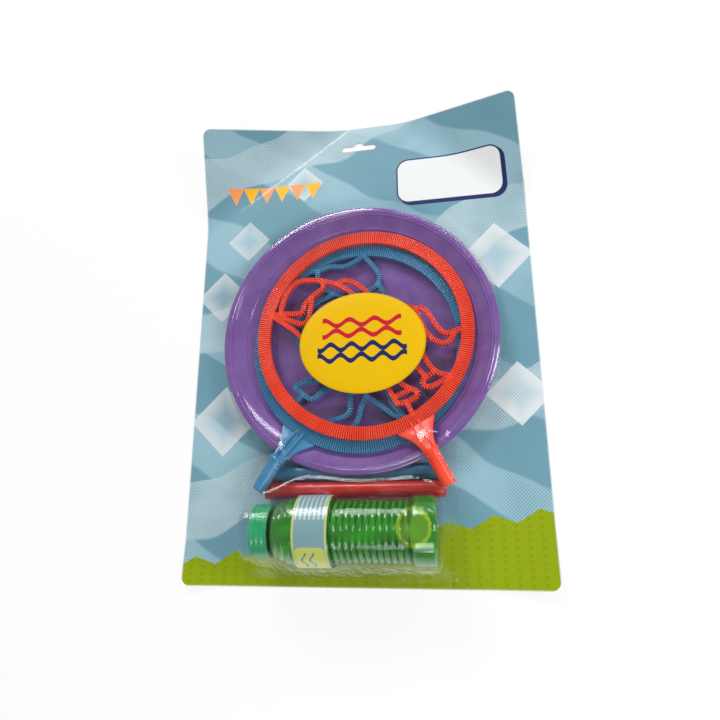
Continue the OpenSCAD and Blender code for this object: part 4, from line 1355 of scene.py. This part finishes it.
def film_mesh(look, inside, x, y, room, height, contact):
    """The film's sheet, trimmed to its edge, with the slopes that its wrinkles follow."""
    half, step = 0.5 * look.cell, 0.1 * look.cell
    kept, near = room > -half, np.abs(room) <= half
    out_x = (inside(x + step, y) - inside(x - step, y)) / (2 * step) * room
    out_y = (inside(x, y + step) - inside(x, y - step)) / (2 * step) * room
    edge_x, edge_y = np.where(near, x - out_x, x), np.where(near, y - out_y, y)
    places = np.stack([edge_x[kept], edge_y[kept], height[kept]], -1)
    index = np.full(x.shape, -1)
    index[kept] = np.arange(kept.sum())
    quads = np.stack([index[:-1, :-1], index[1:, :-1], index[1:, 1:], index[:-1, 1:]], -1).reshape(-1, 4)
    mesh = bpy.data.meshes.new("clear_film")
    mesh.from_pydata(places.tolist(), [], quads[(quads >= 0).all(1)].tolist())
    slope_x, slope_y = np.gradient(height, look.cell)
    free = np.clip((height - contact) / look.cell, 0, 1)
    fields = {"run_x": np.abs(slope_x) * free, "run_y": np.abs(slope_y) * free, "loose": free}
    for name, field in fields.items():
        mesh.attributes.new(name, "FLOAT", "POINT").data.foreach_set("value", field[kept])
    mesh.update()
    return mesh


def add_sticker(look):
    """The oval sticker, with a thin rounded edge."""
    low, high, middle, half = STICKER_LOW.z, STICKER_HIGH.z, STICKER_MIDDLE, STICKER_HALF
    inner, sides = 1 - look.sticker_edge / half.x, look.sticker_sides
    rings = [(inner, low), (1, low + look.sticker_cut)]
    rings += [(ring_share, high) for ring_share in (inner, 0.75, 0.5, 0.25)]
    points = [(middle.x + half.x * x, middle.y + half.y * y, z) for size, z in rings
              for x, y in arc(size, 0, math.tau, sides + 1)[:-1]]
    faces = grid_faces(len(rings), sides, closed=True)
    faces += [list(range(sides)), list(range(len(points) - sides, len(points)))]
    add_piece("sticker_oval", (points, faces), sticker_paper("yellow_sticker", look),
              "film_body", "yellow_sticker", "oval_sticker")


class BUBBLESET_OT_film(bpy.types.Operator):
    """Draws the clear film down over the pieces and sticks the oval on it."""

    bl_idname = "bubbleset.film"
    bl_label = "Film and sticker"

    def execute(self, context):
        look = context.scene.bubble_film
        low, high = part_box("skin_film")
        cell, fine, inside = look.cell, look.cell / look.split, film_reach(look)
        xs, ys = (np.arange(low[axis] - cell, high[axis] + cell * 1.5, fine) for axis in (0, 1))
        x, y = np.meshgrid(xs, ys, indexing="ij")
        # The film's upper side at the seal, with half a gauge of room to the card
        card_top = low.z + look.gauge * 1.5
        room = inside(x, y)
        contact = film_contact(look, x, y, room, card_top)
        ground = skirted(contact, room < look.seal, look.stand_off, fine * math.tan(look.skirt))
        for axis in (0, 1) * look.blur:
            ground = (np.roll(ground, 1, axis) + 2 * ground + np.roll(ground, -1, axis)) / 4
        x, y, room, contact, ground = (
            field[::look.split, ::look.split] for field in (x, y, room, contact, ground))

        sealed = room < look.seal
        from_oval = np.hypot((x - STICKER_MIDDLE.x) / STICKER_HALF.x, (y - STICKER_MIDDLE.y) / STICKER_HALF.y)
        stuck = from_oval < 1 + look.glue_reach
        ground[stuck] = STICKER_LOW.z - look.glue
        ground[sealed] = card_top
        over_tray = np.hypot(x - TRAY_MIDDLE.x, y - TRAY_MIDDLE.y) < TRAY_RADIUS
        sag = np.where(over_tray, look.tray_draw, look.draw) * cell ** 2 / 4
        height = ground
        for _ in range(look.passes):
            mean = sum(np.roll(height, step, axis) for axis in (0, 1) for step in (1, -1)) / 4
            height = np.where(sealed | stuck, ground, np.maximum(ground, mean - sag))

        mesh = soften(film_mesh(look, inside, x, y, room, height, contact), crease=180)
        film = show("clear_film", mesh, [clear_film("clear_film", look)])
        thick = film.modifiers.new("gauge", "SOLIDIFY")
        thick.thickness = look.gauge
        thick.offset = -1
        baked(film)
        settle(film, "film_body", "clear_film", "skin_film")
        add_sticker(look)
        return {"FINISHED"}


# Softboxes: name, place, aim and size in metres, and share of the lamp's power
LAMPS = (
    ("key_light", (-0.45, 1.15, 0.85), (0, 0, 0), (0.7, 0.35), 1.0),
    ("fill_light", (0.95, 0.0, 0.65), (0, 0, 0), (0.3, 0.5), 0.4),
    ("front_light", (0.1, -0.8, 0.75), (0, -0.05, 0), (0.5, 0.25), 0.28),
    ("rim_light", (0.42, 1.03, 0.66), (0, 0, 0), (0.8, 0.12), 0.2),
)


def softbox(name, place, aim, size, power):
    """A soft light that looks at a point."""
    lamp = bpy.data.lights.new(name, "AREA")
    lamp.shape = "RECTANGLE"
    lamp.size, lamp.size_y = size
    lamp.energy = power
    holder = bpy.data.objects.new(name, lamp)
    holder.location = place
    holder.rotation_euler = (Vector(aim) - Vector(place)).to_track_quat("-Z", "Y").to_euler()
    bpy.context.scene.collection.objects.link(holder)


def floor_white(name, look):
    """Pale floor that is seen nearly white and keeps some of the shadow."""
    finish = Finish(name)
    paper = finish.node("ShaderNodeBsdfDiffuse", None, {"Color": colour(look.floor)})
    glow = finish.node("ShaderNodeEmission", None, {"Color": WHITE, "Strength": 1.0})
    path = finish.node("ShaderNodeLightPath").outputs
    rays = (path[f"Is {kind} Ray"] for kind in ("Camera", "Glossy", "Transmission"))
    camera, glossy, through = (Value(finish.tree, ray) for ray in rays)
    seen = camera.most(glossy).most(through) * look.floor_glow
    mixed = finish.node("ShaderNodeMixShader", None, {0: seen, 1: paper.outputs[0], 2: glow.outputs[0]})
    finish.node("ShaderNodeOutputMaterial", None, {"Surface": mixed.outputs[0]})
    return finish.material


class BUBBLESET_OT_stage(bpy.types.Operator):
    """Sets the floor, the lights and the camera."""

    bl_idname = "bubbleset.stage"
    bl_label = "Stage"

    def execute(self, context):
        scene = context.scene
        look = scene.bubble_stage
        sides = ((-1, -1), (1, -1), (1, 1), (-1, 1))
        corners = [(look.floor_reach * x, look.floor_reach * y, -look.floor_gap) for x, y in sides]
        show("floor", make_mesh("floor", corners, [range(4)]), [floor_white("floor_white", look)])

        scene.world = bpy.data.worlds.new("studio")
        scene.world.use_nodes = True
        tree = scene.world.node_tree
        tree.nodes.clear()
        light = add_node(tree, "ShaderNodeBackground", None, {"Color": WHITE, "Strength": look.world})
        add_node(tree, "ShaderNodeOutputWorld", None, {"Surface": light.outputs[0]})
        for name, place, aim, size, power in LAMPS:
            softbox(name, place, aim, size, look.lamp * power)

        camera = bpy.data.objects.new("camera", bpy.data.cameras.new("camera"))
        camera.data.lens = look.lens
        camera.data.sensor_width = look.sensor
        camera.location = look.eye
        camera.rotation_euler = look.facing
        scene.collection.objects.link(camera)
        scene.camera = camera
        scene.view_settings.view_transform = "Standard"
        return {"FINISHED"}


OPERATORS = (BUBBLESET_OT_card, BUBBLESET_OT_tray, BUBBLESET_OT_wands, BUBBLESET_OT_tubes,
             BUBBLESET_OT_bottle, BUBBLESET_OT_film, BUBBLESET_OT_stage)
SETTINGS = {"bubble_card": CardSettings, "bubble_tray": TraySettings, "bubble_wands": WandSettings,
            "bubble_tubes": TubeSettings, "bubble_bottle": BottleSettings, "bubble_film": FilmSettings,
            "bubble_stage": StageSettings}


class BUBBLESET_PT_pieces(bpy.types.Panel):
    """Lists the set's pieces in the sidebar."""

    bl_idname = "BUBBLESET_PT_pieces"
    bl_label = "Bubble wand set"
    bl_space_type = "VIEW_3D"
    bl_region_type = "UI"
    bl_category = "Bubble set"

    def draw(self, context):
        for operator in OPERATORS:
            self.layout.operator(operator.bl_idname)


def register():
    """Adds the classes and the scene's settings."""
    for name, group in SETTINGS.items():
        bpy.utils.register_class(group)
        setattr(bpy.types.Scene, name, PointerProperty(type=group))
    for item in (*OPERATORS, BUBBLESET_PT_pieces):
        bpy.utils.register_class(item)


def unregister():
    """Takes them away again."""
    for item in (BUBBLESET_PT_pieces, *reversed(OPERATORS)):
        bpy.utils.unregister_class(item)
    for name, group in SETTINGS.items():
        delattr(bpy.types.Scene, name)
        bpy.utils.unregister_class(group)


def main():
    """Builds every piece in order."""
    register()
    for operator in OPERATORS:
        group, name = operator.bl_idname.split(".")
        getattr(getattr(bpy.ops, group), name)()


if __name__ == "__main__":
    main()
